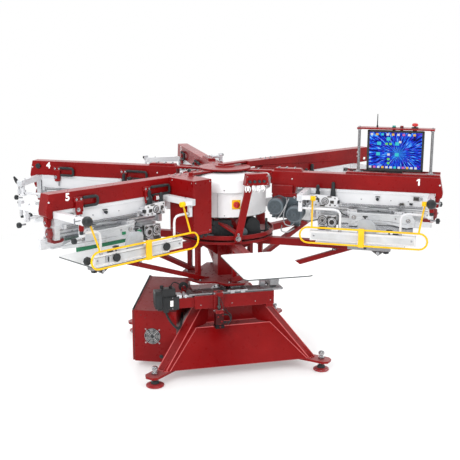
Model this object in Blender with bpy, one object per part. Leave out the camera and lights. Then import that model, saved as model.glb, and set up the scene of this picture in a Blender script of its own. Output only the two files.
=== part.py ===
"""Automatic screen printing carousel: six pallets, five print heads, one loading gap.

Metres, +Z up. Origin on the floor under the centre column. The loading gap faces -Y.
Every head and pallet is drawn in its own frame, with r outwards along the arm (drawn on x),
s to the left of it (drawn on y) and z up, and is then turned about the column.
"""

import math

import bmesh
import bpy
from mathutils import Matrix, Vector

# ---------------------------------------------------------------- driving dimensions
GAP = 0.0003                     # between solids that rest on each other
RUN = 0.0008                     # between a sliding piece and its guide
HEAD_ANGLES = {1: 330.0, 2: 30.0, 3: 90.0, 4: 150.0, 5: 210.0}
PALLET_ANGLES = {**HEAD_ANGLES, 6: 270.0}
DISPLAY_HEAD = MOTOR_HEAD = HEAD_ANGLES[1]
JUNCTION_HEAD = HEAD_ANGLES[5]

ARM_TIP = 1.42                   # top corner of the arm's slanted end
LONG_ARM, LONG_TIP = 2, 1.56     # one arm is deeper and runs on past its head
SADDLE_ARMS = (1, 3, 4)          # arms doubled by a raised plate over the root
ARM_TOP, ARM_BOTTOM, ARM_HALF = 1.30, 1.20, 0.040
TONGUE_IN, TONGUE_BOTTOM = 0.11, 1.290
ROOT_IN, ROOT_OUT, ROOT_BOTTOM = 0.335, 0.50, 1.150

BAR_IN, BAR_OUT, BAR_HALF = 0.575, 1.375, 0.018   # crossbars under the arm
BAR_END_IN, BAR_END, BAR_BOTTOM = 0.312, 0.322, 1.160   # inner bars stop short of the next head
BEAM_HALF, BEAM_BOTTOM = 0.035, 1.090
SIDE_S, SIDE_HALF, SIDE_LOW, SIDE_HIGH = 0.270, 0.014, 0.905, 0.968   # screen side channels
HANGER_S, HANGER_R, HANGER_BEND = 0.281, 0.008, 0.042   # bent rods that carry the channels
HANGERS, HANGERS_HEAD_5 = (0.830, 1.204), (0.703, 1.250)   # r of the inner and outer drop
ROD_R, ROD_IN, ROD_OUT, ROD_S = 0.007, 0.88, 1.18, 0.060   # rods of squeegee and flood bar

PALLET_IN, PALLET_OUT, PALLET_HALF, PALLET_TOP = 0.656, 1.226, 0.200, 0.868

# safety hoops: side of the arm, loop from and to, foot of the inner and of the outer leg
HOOPS = {1: (-1, 0.580, 1.371, 0.656, 1.317), 5: (1, 0.533, 1.335, 0.596, 1.276)}
HOOP_S, HOOP_PIVOT, HOOP_LOW, HOOP_HIGH = 0.310, 1.180, 0.894, 0.994
HOOP_IN, HOOP_OUT = 0.646, BAR_OUT - BAR_HALF - GAP   # inner and outer pivot faces
EYE_R, EYE_HALF = 0.0155, 0.011
HOOP_STEPS = 8                   # segments round each end of the loop

COLUMN_R, SLEEVE_R, BORE_R = 0.045, 0.0545, 0.0555
HUB_HALF, STAR_R, RING_R = 0.065, 0.300, 0.330
STAR_LOW, STAR_HIGH, RING_LOW, RING_HIGH = 0.555, 0.568, 0.842, 0.858
TRAY_R, TRAY_LOW, TRAY_RIM = 0.335, 0.872, 0.902
DRUM_R, LID_R, DRUM_LOW, DRUM_LIP, DRUM_TOP = 0.280, 0.310, 1.012, 1.181, 1.288
DRUM_WALL = 0.004
HUB_DISC_R = 0.175

# legs as (angle, distance of the foot from the column); the front pair stands a little skewed
LEGS = ((221.6, 0.789), (315.0, 0.748), (45.0, 0.770), (135.0, 0.770))
LEG_HALF = 0.036
PLATE_LOW, PLATE_HIGH = 0.062, 0.078
TOP_PLATE_Z = 0.430
SKIRT_HALF, SKIRT_INNER, SKIRT_OPENING = 0.195, 0.183, 0.150

# panels between the legs: turn, low edge from and to, high edge from and to
PANELS = (
    (0, (-0.535, 0.480), (-0.315, 0.288)),
    (180, (-0.492, 0.492), (-0.292, 0.292)),
    (90, (-0.492, 0.492), (-0.292, 0.292)),
)
PANEL_LOW, PANEL_HIGH, PANEL_DEPTH = (-0.500, 0.078), (-0.300, 0.283), 0.012   # edges as (y, z)

CAB_TURN = math.radians(-24.0)   # the cabinet stands askew under the machine
CAB_CORNER = (-0.680, -0.180)
CAB_W, CAB_D, CAB_LOW, CAB_FRONT_H, CAB_BACK_H = 0.300, 0.460, 0.050, 0.405, 0.510
CAB_WALL, DOOR_INSET, DOOR_THICK, CASE_START = 0.012, 0.004, 0.0125, 0.0145

# index drive: a beam across the front, with a rail on top and the servo at its -X end
BEAM_FRONT, BEAM_Z0, BEAM_Z1, RAIL_Z1 = -0.350, TOP_PLATE_Z + GAP, 0.520, 0.532
LOCK_X, LOCK_Y, LOCK_PIN_R = -0.135, -0.376, 0.008

POST_S, POST_R = 0.035, 0.009    # posts of the display stand
POST_PLACES = (0.895, 1.357)
BUTTON_LOW = 1.5935
BUTTON_PLACES = {"start_button": 1.114, "stop_button": 1.163, "estop_button": 1.245}

# origins in the head frame, as (r, s, z)
ARM_ORIGIN, BEAM_ORIGIN, CARRIAGE_ORIGIN = (0.9, 0, 1.25), (0.95, 0, 1.15), (0.95, 0, 1.10)
BLADE_ORIGIN_R, BLADE_ORIGIN_Z = 1.03, 1.0


# ---------------------------------------------------------------- shape helpers
def new_object(verts, faces):
    """A closed mesh with its faces turned outwards."""
    mesh = bpy.data.meshes.new("part")
    mesh.from_pydata([tuple(map(float, v)) for v in verts], [], faces)
    bm = bmesh.new()
    bm.from_mesh(mesh)
    bmesh.ops.recalc_face_normals(bm, faces=bm.faces)
    if bm.calc_volume(signed=True) < 0:
        bmesh.ops.reverse_faces(bm, faces=bm.faces)
    bm.to_mesh(mesh)
    bm.free()
    obj = bpy.data.objects.new("part", mesh)
    bpy.context.scene.collection.objects.link(obj)
    return obj


def extrude(outline, low, high, axes="xy"):
    """A closed polygon given along two axes, pushed out along the third."""
    first, second, third = {"xy": (0, 1, 2), "xz": (0, 2, 1), "yz": (1, 2, 0)}[axes]
    verts = []
    for level in (low, high):
        for a, b in outline:
            vert = [0.0, 0.0, 0.0]
            vert[first], vert[second], vert[third] = a, b, level
            verts.append(vert)
    n = len(outline)
    faces = [list(range(n))[::-1], list(range(n, 2 * n))]
    faces += [[i, (i + 1) % n, n + (i + 1) % n, n + i] for i in range(n)]
    return new_object(verts, faces)


def box(x0, x1, y0, y1, z0, z1):
    return extrude([(x0, y0), (x1, y0), (x1, y1), (x0, y1)], z0, z1)


def boxes(rows):
    """One box for each row of x0, x1, y0, y1, z0, z1."""
    return [box(*row) for row in rows]


def side_box(side, x0, x1, near, far, z0, z1):
    """A box between two distances from the arm's middle, on side -1 or 1."""
    return box(x0, x1, *sorted((side * near, side * far)), z0, z1)


def circle(cx, cy, radius, seg, turn=0.0):
    return [
        (cx + radius * math.cos(turn + 2 * math.pi * i / seg),
         cy + radius * math.sin(turn + 2 * math.pi * i / seg))
        for i in range(seg)
    ]


def cylinder(centre, radius, low, high, axes="xy", seg=24):
    return extrude(circle(centre[0], centre[1], radius, seg), low, high, axes)


def rounded(x0, x1, y0, y1, radius, seg=4):
    """A rectangle outline with rounded corners."""
    outline = []
    for cx, cy, start in (
        (x1 - radius, y1 - radius, 0.0), (x0 + radius, y1 - radius, 0.5),
        (x0 + radius, y0 + radius, 1.0), (x1 - radius, y0 + radius, 1.5),
    ):
        for i in range(seg + 1):
            angle = math.pi * (start + 0.5 * i / seg)
            outline.append((cx + radius * math.cos(angle), cy + radius * math.sin(angle)))
    return outline


def revolve(profile, seg=32):
    """A closed (radius, z) outline turned about Z; points at radius 0 become one pole each."""
    verts, rings = [], []
    for radius, z in profile:
        if radius < 1e-9:
            rings.append([len(verts)] * seg)
            verts.append((0.0, 0.0, z))
        else:
            rings.append(list(range(len(verts), len(verts) + seg)))
            verts += [(x, y, z) for x, y in circle(0, 0, radius, seg)]
    faces = []
    for a, b in zip(rings, rings[1:] + rings[:1]):
        for i in range(seg):
            j = (i + 1) % seg
            face = list(dict.fromkeys((a[i], a[j], b[j], b[i])))   # a pole counts once
            if len(face) >= 3:
                faces.append(face)
    return new_object(verts, faces)


def bar(start, end, width, height, up=(0, 0, 1)):
    """A rectangular bar between two points: width across, height along up."""
    start, end = Vector(start), Vector(end)
    along = (end - start).normalized()
    side = along.cross(Vector(up)).normalized()
    top = side.cross(along).normalized()
    verts = []
    for point in (start, end):
        for i, j in ((-1, -1), (1, -1), (1, 1), (-1, 1)):
            verts.append(point + side * (i * width / 2) + top * (j * height / 2))
    return new_object(verts, [[0, 1, 2, 3], [4, 5, 6, 7], [0, 1, 5, 4], [1, 2, 6, 5],
                              [2, 3, 7, 6], [3, 0, 4, 7]])


def rod(path, radius, seg=8, closed=False):
    """A round rod swept along a path with its section kept square to it."""
    points = [Vector(p) for p in path]
    n = len(points)
    tangents = []
    for i in range(n):
        before = points[i - 1] if (i or closed) else points[i]
        after = points[(i + 1) % n] if (i < n - 1 or closed) else points[i]
        tangents.append((after - before).normalized())
    normal = tangents[0].orthogonal().normalized()
    verts = []
    for i, (point, tangent) in enumerate(zip(points, tangents)):
        if i:
            normal = tangents[i - 1].rotation_difference(tangent) @ normal
        normal = (normal - tangent * normal.dot(tangent)).normalized()
        other = tangent.cross(normal)
        for k in range(seg):
            angle = 2 * math.pi * k / seg
            verts.append(point + radius * (math.cos(angle) * normal + math.sin(angle) * other))
    faces = []
    for i in range(n if closed else n - 1):
        here, ahead = i * seg, ((i + 1) % n) * seg
        for k in range(seg):
            following = (k + 1) % seg
            faces.append([here + k, here + following, ahead + following, ahead + k])
    if not closed:
        faces += [list(range(seg))[::-1], list(range((n - 1) * seg, n * seg))]
    return new_object(verts, faces)


def bend(points, radius, steps):
    """A path with its inner corners rounded."""
    points = [Vector(p) for p in points]
    path = [points[0]]
    for before, here, after in zip(points, points[1:], points[2:]):
        start = here + (before - here).normalized() * radius
        end = here + (after - here).normalized() * radius
        for i in range(steps + 1):
            t = i / steps
            path.append(start * (1 - t) ** 2 + here * (2 * t * (1 - t)) + end * t ** 2)
    path.append(points[-1])
    return path


def transform(obj, matrix):
    obj.data.transform(matrix)
    return obj


def moved(obj, x, y, z):
    return transform(obj, Matrix.Translation((x, y, z)))


def turned(obj, degrees):
    return transform(obj, Matrix.Rotation(math.radians(degrees), 4, "Z"))


def at_arm(angle, r, s, z):
    """A point of the frame turned to the angle, in world coordinates."""
    a = math.radians(angle)
    return (r * math.cos(a) - s * math.sin(a), r * math.sin(a) + s * math.cos(a), z)


def boolean(obj, others, operation):
    """Runs one exact Boolean with all the others at once and keeps the result."""
    group = bpy.data.collections.new("operands")
    bpy.context.scene.collection.children.link(group)
    for other in others:
        group.objects.link(other)
        bpy.context.scene.collection.objects.unlink(other)
    modifier = obj.modifiers.new("join", "BOOLEAN")
    modifier.operation = operation
    modifier.operand_type = "COLLECTION"
    modifier.collection = group
    modifier.solver = "EXACT"
    graph = bpy.context.evaluated_depsgraph_get()
    mesh = bpy.data.meshes.new_from_object(obj.evaluated_get(graph))
    obj.modifiers.clear()
    obj.data = mesh
    for other in others:
        bpy.data.objects.remove(other, do_unlink=True)
    bpy.data.collections.remove(group)
    return obj


def union(first, *others):
    return boolean(first, others, "UNION")


def cut(obj, *cutters):
    return boolean(obj, cutters, "DIFFERENCE")


def finish(obj, name, material, origin=(0, 0, 0)):
    """Cleans the mesh, then sets its material, origin, name and shading."""
    bm = bmesh.new()
    bm.from_mesh(obj.data)
    bmesh.ops.remove_doubles(bm, verts=bm.verts, dist=2e-6)
    bmesh.ops.dissolve_degenerate(bm, edges=bm.edges, dist=1e-6)
    bm.to_mesh(obj.data)
    bm.free()
    obj.data.materials.clear()
    obj.data.materials.append(material)
    transform(obj, Matrix.Translation(-Vector(origin)))
    obj.location = origin
    obj.name = name
    obj.data.name = name
    for face in obj.data.polygons:
        face.use_smooth = True
    obj.data.set_sharp_from_angle(angle=math.radians(32))


def finish_turned(obj, angle, name, material, origin):
    """Turns a piece about the column; its origin is given in the unturned frame."""
    finish(turned(obj, angle), name, material, at_arm(angle, *origin))


# ---------------------------------------------------------------- materials
def paint(name, color, roughness, metallic=0.0):
    material = bpy.data.materials.new(name)
    material.use_nodes = True
    shader = material.node_tree.nodes["Principled BSDF"]
    shader.inputs["Base Color"].default_value = (*color, 1.0)
    shader.inputs["Metallic"].default_value = metallic
    shader.inputs["Roughness"].default_value = roughness
    material.diffuse_color = (*color, 1.0)
    return material


RED = paint("red_paint", color=(0.33, 0.012, 0.016), roughness=0.3)
WHITE = paint("white_paint", color=(0.78, 0.78, 0.77), roughness=0.35)
ALU = paint("aluminium", color=(0.62, 0.62, 0.62), roughness=0.35, metallic=1.0)
STEEL = paint("bright_steel", color=(0.55, 0.55, 0.56), roughness=0.25, metallic=1.0)
CHROME = paint("chrome", color=(0.75, 0.75, 0.76), roughness=0.08, metallic=1.0)
BLACK = paint("black_plastic", color=(0.015, 0.015, 0.016), roughness=0.45)
YELLOW = paint("yellow_paint", color=(0.85, 0.62, 0.0), roughness=0.4)
BLUEGREY = paint("blue_grey_paint", color=(0.10, 0.13, 0.16), roughness=0.45)
BOARD = paint("pallet_white", color=(0.85, 0.85, 0.84), roughness=0.5)
TEAL = paint("green_cap", color=(0.0, 0.45, 0.4), roughness=0.3)
REDCAP = paint("red_cap", color=(0.5, 0.01, 0.01), roughness=0.35)


# ---------------------------------------------------------------- base
def leg(angle, toe):
    """A sloped box leg and its foot plate, drawn along +x and turned."""
    side = [(0.16, TOP_PLATE_Z - 0.005), (0.30, TOP_PLATE_Z - 0.005),
            (toe - 0.070, PLATE_HIGH - 0.002), (toe - 0.070, 0.066), (0.560, 0.066),
            (0.22, 0.330)]
    plate = [(0.60, -0.050), (toe + 0.035, -0.050), (toe + 0.060, -0.025),
             (toe + 0.060, 0.025), (toe + 0.035, 0.050), (0.60, 0.050)]
    return [turned(extrude(side, -LEG_HALF, LEG_HALF, "xz"), angle),
            turned(extrude(plate, PLATE_LOW, PLATE_HIGH), angle)]


def panel(angle, low_edge, high_edge):
    """A sloped trapezoid panel between two legs, drawn facing -y and turned."""
    verts = []
    for (y, z), (left, right) in ((PANEL_LOW, low_edge), (PANEL_HIGH, high_edge)):
        for depth in (0.0, PANEL_DEPTH):
            verts += [(left, y + depth, z - depth * 0.2), (right, y + depth, z - depth * 0.2)]
    faces = [[0, 1, 3, 2], [4, 6, 7, 5], [0, 4, 5, 1], [2, 3, 7, 6], [0, 2, 6, 4], [1, 5, 7, 3]]
    return turned(new_object(verts, faces), angle)


def build_base(feet):
    shapes = []
    for angle, toe in LEGS:
        shapes += leg(angle, toe)
    shapes += [panel(*row) for row in PANELS]
    # the deck closes the pyramid under the pedestal and stops short of the cabinet
    deck = [(-0.318, -0.298), (0.288, -0.298), (0.298, 0.298), (-0.200, 0.298),
            (-0.200, 0.125), (-0.318, -0.140)]
    shapes.append(extrude(deck, 0.268, 0.280))
    top = box(-0.210, 0.210, -0.310, 0.210, 0.414, TOP_PLATE_Z)
    # a prop under the column carries its load straight to the floor
    prop = union(cylinder((0, 0), 0.030, 0.004, 0.420, seg=16),
                 cylinder((0, 0), 0.050, 0.0, 0.012))
    skirt = cut(box(-SKIRT_HALF, SKIRT_HALF, -SKIRT_HALF, SKIRT_HALF, 0.270, 0.418),
                box(-SKIRT_INNER, SKIRT_INNER, -SKIRT_INNER, SKIRT_INNER, 0.200, 0.406))
    base = union(top, skirt, *shapes)
    holes = [cylinder(foot, 0.0128, 0.03, 0.12, seg=12) for foot in feet]
    # open underneath, into the pedestal
    holes.append(box(-SKIRT_OPENING, SKIRT_OPENING, -SKIRT_OPENING, SKIRT_OPENING, 0.250, 0.300))
    finish(union(cut(base, *holes), prop), "base_frame", RED)


def build_levelling_foot(number, foot):
    """A threaded foot with a nut each side of the leg's plate, on an octagonal pad."""
    bolt = revolve([(0, 0.010), (0.024, 0.012), (0.024, 0.020), (0.012, 0.028), (0.012, 0.046),
                    (0.020, 0.047), (0.020, PLATE_LOW - GAP), (0.012, PLATE_LOW - GAP),
                    (0.012, PLATE_HIGH + GAP), (0.020, PLATE_HIGH + GAP), (0.020, 0.092),
                    (0.012, 0.093), (0.012, 0.106), (0.019, 0.110), (0.019, 0.127),
                    (0.012, 0.133), (0, 0.134)], 12)
    pad = extrude(circle(0, 0, 0.051, 8, math.pi / 8), 0.0, 0.014)
    finish(moved(union(bolt, pad), *foot), f"levelling_foot_{number}", CHROME, foot)


# ---------------------------------------------------------------- electrical cabinet
def cabinet_outline(inset, front_drop, back_drop):
    """The cabinet's (y, z) side view, taken in at the edges; the top rises towards +y."""
    return [(inset, CAB_LOW + inset), (CAB_D - inset, CAB_LOW + inset),
            (CAB_D - inset, CAB_BACK_H - back_drop), (inset, CAB_FRONT_H - front_drop)]


def build_cabinet():
    """A case open on its local -x side, where the door closes it."""
    place = Matrix.Translation((*CAB_CORNER, 0)) @ Matrix.Rotation(CAB_TURN, 4, "Z")
    case = extrude(cabinet_outline(0, 0, 0), CASE_START, CAB_W, "yz")
    cavity = extrude(cabinet_outline(CAB_WALL, 0.010, 0.014), -0.02, CAB_W - CAB_WALL, "yz")
    feet = [box(x - 0.02, x + 0.02, y - 0.02, y + 0.02, 0.0, CAB_LOW + 0.006)
            for x in (0.05, CAB_W - 0.04) for y in (0.18, CAB_D - 0.06)]
    finish(transform(union(cut(case, cavity), *feet), place), "control_cabinet", RED)

    door = extrude(cabinet_outline(DOOR_INSET, 0.005, 0.006), 0.0, DOOR_THICK, "yz")
    hinge = tuple(place @ Vector((0.0, CAB_D - DOOR_INSET, 0.0)))
    finish(transform(door, place), "cabinet_door", RED, hinge)


# ---------------------------------------------------------------- column and lift
def build_column():
    foot = TOP_PLATE_Z + GAP
    finish(revolve([(0, foot), (0.100, foot), (0.100, 0.445), (COLUMN_R, 0.446),
                    (COLUMN_R, ARM_TOP), (0, ARM_TOP)], 24), "centre_column", STEEL)


def build_lift_sleeve():
    bore = COLUMN_R + RUN
    finish(revolve([(bore, 0.4475), (0.088, 0.4475), (0.088, 0.460), (SLEEVE_R, 0.461),
                    (SLEEVE_R, 0.857), (bore, 0.857)], 24), "lift_sleeve", STEEL)


# ---------------------------------------------------------------- index drive
# all rows are x0, x1, y0, y1, z0, z1
INDEX_BEAM = (
    (-0.290, 0.250, BEAM_FRONT, -0.230, BEAM_Z0, BEAM_Z1),       # beam
    (-0.390, -0.280, -0.335, -0.250, 0.440, 0.506),              # stub towards the servo
    (-0.327, 0.316, -0.338, -0.238, BEAM_Z1 - 0.001, RAIL_Z1),   # rail
    (0.195, 0.245, -0.349, -0.310, 0.410, 0.436),                # block under the +X end
)
INDEX_SERVO = (
    (-0.430, -0.3905, -0.338, -0.246, 0.432, 0.520),   # flange at the stub
    (-0.535, -0.425, -0.332, -0.252, 0.436, 0.516),    # body
    (-0.548, -0.500, -0.336, -0.262, 0.446, 0.560),    # raised end
    (-0.505, -0.412, -0.325, -0.270, 0.510, 0.572),    # block on top
    (-0.490, -0.455, -0.318, -0.280, 0.410, 0.440),    # block underneath
)
INDEX_CARRIAGE = (
    (-0.070, 0.070, -0.345, -0.231, RAIL_Z1 + RUN, 0.5425),   # plate over the rail
    (-0.030, 0.030, -0.300, -0.250, 0.540, 0.5520),           # raised middle
    (-0.050, -0.020, -0.3494, -0.340, 0.5215, 0.5425),        # lips down the rail's front
    (0.020, 0.050, -0.3494, -0.340, 0.5215, 0.5425),
)
RAIL_CLEARANCE = (-0.100, 0.100, -0.3388, -0.2372, 0.500, RAIL_Z1 + RUN)
# here x0 and x1 are measured from LOCK_X
LOCK_CYLINDER = (
    (-0.030, 0.032, -0.362, BEAM_FRONT - GAP, 0.405, 0.548),   # plate against the beam
    (-0.024, 0.024, -0.400, -0.355, 0.405, 0.425),             # shelf
    (-0.026, 0.026, -0.402, BEAM_FRONT - GAP, 0.318, 0.410),   # body
    (-0.030, 0.030, -0.406, -0.352, 0.304, 0.322),             # bottom cap
    (-0.022, 0.022, -0.398, -0.360, 0.520, 0.545),             # upper guide
)


def build_index_drive():
    finish(union(*boxes(INDEX_BEAM)), "index_beam", RED)
    finish(union(*boxes(INDEX_SERVO)), "index_servo", BLACK)
    carriage = cut(union(*boxes(INDEX_CARRIAGE)), box(*RAIL_CLEARANCE))
    finish(carriage, "index_carriage", STEEL, (0, -0.288, 0.54))


def build_lock():
    centre = (LOCK_X, LOCK_Y)
    body = union(*[box(LOCK_X + x0, LOCK_X + x1, *rest) for x0, x1, *rest in LOCK_CYLINDER])
    bore = cylinder(centre, LOCK_PIN_R + RUN, 0.370, 0.600, seg=16)
    finish(cut(body, bore), "lock_cylinder", RED)
    pin = union(cylinder(centre, LOCK_PIN_R, 0.395, 0.5495, seg=16),
                cylinder(centre, 0.013, 0.440, 0.452, seg=16))
    finish(pin, "lock_pin", CHROME, (*centre, 0.5))


# ---------------------------------------------------------------- carousel
def build_carousel():
    # each point of the star has two corners 12 degrees off its arm, then a valley
    star = [(STAR_R * k * math.cos(math.radians(a)), STAR_R * k * math.sin(math.radians(a)))
            for a0 in range(30, 390, 60)
            for a, k in ((a0 - 12, 1.0), (a0 + 12, 1.0), (a0 + 30, 0.80))]
    gusset = [(0.060, 0.700), (0.060, 0.800), (0.215, 0.800)]
    parts = [extrude(star, STAR_LOW, STAR_HIGH),
             extrude(circle(0, 0, RING_R, 36), RING_LOW, RING_HIGH),
             box(-HUB_HALF, HUB_HALF, -HUB_HALF, HUB_HALF, STAR_HIGH - 0.004, RING_LOW + 0.004)]
    for angle in PALLET_ANGLES.values():
        # pallet arm, sloping strut, post between star and ring, gusset at the hub
        arm = [box(0.040, 1.130, -0.025, 0.025, 0.797, RING_LOW + 0.0028),
               bar((0.190, 0, 0.560), (0.885, 0, 0.812), 0.040, 0.030),
               box(0.238, 0.268, -0.0145, 0.0145, STAR_HIGH - 0.005, RING_LOW + 0.006),
               extrude(gusset, -0.006, 0.006, "xz")]
        parts += [turned(piece, angle) for piece in arm]
    bore = cylinder((0, 0), BORE_R, 0.40, 1.0)
    finish(cut(union(*parts), bore), "carousel_frame", RED)


def build_pallet(number, angle):
    """A rounded board with two rails, a clamp and an inner lip underneath."""
    board = extrude(rounded(PALLET_IN, PALLET_OUT, -PALLET_HALF, PALLET_HALF, 0.030),
                    PALLET_TOP - 0.008, PALLET_TOP)
    rails = [box(0.700, 1.140, s - 0.012, s + 0.012, RING_LOW + 0.0032, PALLET_TOP - 0.0075)
             for s in (-0.045, 0.045)]
    clamp = box(0.960, 1.060, -0.060, 0.060, RING_LOW + 0.0034, PALLET_TOP - 0.0076)
    lip = box(PALLET_IN + 0.010, PALLET_IN + 0.030, -0.110, 0.110, 0.8500, PALLET_TOP - 0.0077)
    finish_turned(union(board, clamp, lip, *rails), angle, f"pallet_{number}", BOARD,
                  (1.010, 0, RING_LOW))


# ---------------------------------------------------------------- tray, drum, hub
def build_tray():
    """A shallow round tray with a tall collar round the column."""
    bore, rim_in, floor = COLUMN_R + GAP, TRAY_R - 0.007, TRAY_LOW + 0.008
    finish(revolve([(bore, TRAY_LOW), (TRAY_R - 0.004, TRAY_LOW), (TRAY_R, TRAY_LOW + 0.004),
                    (TRAY_R, TRAY_RIM), (rim_in, TRAY_RIM), (rim_in, floor),
                    (0.075, floor), (0.072, 0.985), (bore, 0.985)], 36),
           "service_tray", RED)


def build_drum():
    """A hollow drum, open below, under a wider lid."""
    bore, collar = COLUMN_R + GAP, COLUMN_R + 0.010
    finish(revolve([(bore, DRUM_TOP), (0.215, DRUM_TOP - 0.003), (0.278, DRUM_TOP - 0.014),
                    (0.302, DRUM_TOP - 0.028), (LID_R, DRUM_TOP - 0.046), (LID_R, DRUM_LIP),
                    (DRUM_R, DRUM_LIP - 0.004), (DRUM_R, DRUM_LOW),
                    (DRUM_R - DRUM_WALL, DRUM_LOW), (DRUM_R - DRUM_WALL, DRUM_LIP + 0.004),
                    (LID_R - DRUM_WALL, DRUM_LIP + 0.008),
                    (LID_R - DRUM_WALL, DRUM_TOP - 0.048), (0.276, DRUM_TOP - 0.018),
                    (collar, DRUM_TOP - 0.007), (collar, DRUM_TOP - 0.040),
                    (bore, DRUM_TOP - 0.040)], 36),
           "control_drum", WHITE)


def build_hub():
    low = ARM_TOP + 2 * GAP
    finish(revolve([(0, low), (HUB_DISC_R - 0.002, low), (HUB_DISC_R, ARM_TOP + 0.002),
                    (HUB_DISC_R, ARM_TOP + 0.010), (HUB_DISC_R - 0.003, ARM_TOP + 0.012),
                    (0.070, ARM_TOP + 0.012), (0.066, ARM_TOP + 0.022),
                    (0, ARM_TOP + 0.022)]), "head_hub", RED)


# ---------------------------------------------------------------- print heads
def build_head_arm(number, angle):
    top, bar_edge = ARM_TOP - GAP, BAR_OUT + BAR_HALF + 0.004
    outline = [(TONGUE_IN, TONGUE_BOTTOM), (TONGUE_IN, top)]
    if number == LONG_ARM:
        outline += [(0.184, top), (0.196, top + 0.031), (LONG_TIP, top + 0.013),
                    (LONG_TIP + 0.022, ARM_BOTTOM + 0.010), (LONG_TIP + 0.014, ARM_BOTTOM)]
    else:
        outline.append((ARM_TIP, top))
    outline += [(ARM_TIP + 0.022, ARM_BOTTOM), (ARM_TIP + 0.018, 1.176),
                (ARM_TIP - 0.012, 1.150), (bar_edge, 1.162), (bar_edge, ARM_BOTTOM),
                (ROOT_OUT, ARM_BOTTOM), (ROOT_OUT - 0.008, ROOT_BOTTOM),
                (ROOT_IN, ROOT_BOTTOM), (ROOT_IN, TONGUE_BOTTOM)]
    arm = extrude(outline, -ARM_HALF, ARM_HALF, "xz")
    if number in SADDLE_ARMS:
        saddle = [(0.342, top - 0.002), (0.352, top + 0.018), (0.524, top + 0.018),
                  (0.540, top - 0.002)]
        arm = union(arm, extrude(saddle, -0.020, 0.034, "xz"))
    finish_turned(arm, angle, f"head_arm_{number}", RED, ARM_ORIGIN)


def hanger(side, bar_r, height, drop_r):
    """A bent rod from under a crossbar down to the side channel."""
    s = side * HANGER_S
    path = [(bar_r, s, height), (drop_r, s, height), (drop_r, s, SIDE_HIGH - 0.010)]
    return rod(bend(path, HANGER_BEND, 3), HANGER_R, 6)


def build_head_beam(number, angle):
    """The spine under the arm, its crossbars, and the screen channels hung from them."""
    high, low = ARM_BOTTOM - GAP, BAR_BOTTOM + 0.001
    step = BAR_OUT - BAR_HALF - 0.003
    spine = extrude([(BAR_IN - 0.010, high), (BAR_OUT + 0.010, high), (BAR_OUT + 0.010, low),
                     (step, low), (step, BEAM_BOTTOM), (0.642, BEAM_BOTTOM), (0.642, low),
                     (BAR_IN - 0.010, low)], -BEAM_HALF, BEAM_HALF, "xz")
    pieces = [box(r - BAR_HALF, r + BAR_HALF, -end, end, BAR_BOTTOM, high - 0.0006)
              for r, end in ((BAR_IN, BAR_END_IN), (BAR_OUT, BAR_END))]
    drop_in, drop_out = HANGERS_HEAD_5 if number == 5 else HANGERS
    for side in (-1, 1):
        pieces.append(side_box(side, 0.640, 1.300, SIDE_S - SIDE_HALF, SIDE_S + SIDE_HALF,
                               SIDE_LOW, SIDE_HIGH))
        for r in (BAR_IN, BAR_OUT):   # lugs that hold the hangers
            pieces.append(side_box(side, r - 0.012, r + 0.012, 0.272, 0.290,
                                   1.088, BAR_BOTTOM + 0.006))
        pieces.append(hanger(side, BAR_IN, 1.110, drop_in))
        pieces.append(hanger(side, BAR_OUT, 1.107, drop_out))
    if number in HOOPS:               # bracket out to the hoop's inner pivot
        pieces.append(side_box(HOOPS[number][0], BAR_IN + BAR_HALF - 0.003, HOOP_IN - GAP,
                               0.296, BAR_END, 1.1700, 1.1960))
    finish_turned(union(spine, *pieces), angle, f"head_beam_{number}", WHITE, BEAM_ORIGIN)


def build_print_carriage(number, angle):
    half = BAR_HALF - 0.002
    saddle = BAR_BOTTOM - RUN         # runs just under the crossbars
    carriage = union(*boxes((
        (0.602, BAR_OUT + half, -0.020, 0.020, 1.042, 1.076),                 # long bar
        (BAR_IN - half, 0.626, -0.045, 0.045, 1.120, saddle),                 # inner saddle
        (0.600, 0.627, -0.044, 0.044, 1.030, 1.140),                          # inner upright
        (BAR_OUT - half, BAR_OUT + half, -0.045, 0.045, 1.030, saddle),       # outer upright
        (ROD_IN - 0.030, ROD_IN + 0.030, -0.085, 0.085, 1.036, 1.0785),       # rod blocks
        (ROD_OUT - 0.030, ROD_OUT + 0.030, -0.085, 0.085, 1.036, 1.0785),
    )))
    bores = [cylinder((r, s), ROD_R + RUN, 1.0, 1.1, seg=12)
             for r in (ROD_IN, ROD_OUT) for s in (-ROD_S, ROD_S)]
    finish_turned(cut(carriage, *bores), angle, f"print_carriage_{number}", ALU,
                  CARRIAGE_ORIGIN)


# blade sections as (offset from the rods in s, z)
SQUEEGEE_SECTION = ((-0.006, 0.945), (0.004, 0.945), (0.006, 0.975), (0.013, 0.980),
                    (0.013, 1.022), (-0.013, 1.022), (-0.013, 0.980), (-0.006, 0.975))
FLOOD_SECTION = ((-0.020, 0.948), (-0.017, 0.947), (0.004, 0.990), (0.012, 0.994),
                 (0.012, 1.022), (-0.012, 1.022), (-0.012, 0.994), (-0.001, 0.988))
# name, material, s of the rods, section, r from and to
BLADES = (
    ("squeegee", ALU, ROD_S, SQUEEGEE_SECTION, 0.800, 1.260),
    ("flood_bar", STEEL, -ROD_S, FLOOD_SECTION, 0.790, 1.270),
)


def build_blade(number, angle, name, material, rod_s, section, start, end):
    """A blade across the screen, on two rods that rise into the carriage."""
    blade = extrude([(rod_s + s, z) for s, z in section], start, end, "yz")
    rods = [cylinder((r, rod_s), ROD_R, 1.015, 1.0845, seg=12) for r in (ROD_IN, ROD_OUT)]
    finish_turned(union(blade, *rods), angle, f"{name}_{number}", material,
                  (BLADE_ORIGIN_R, rod_s, BLADE_ORIGIN_Z))


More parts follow.
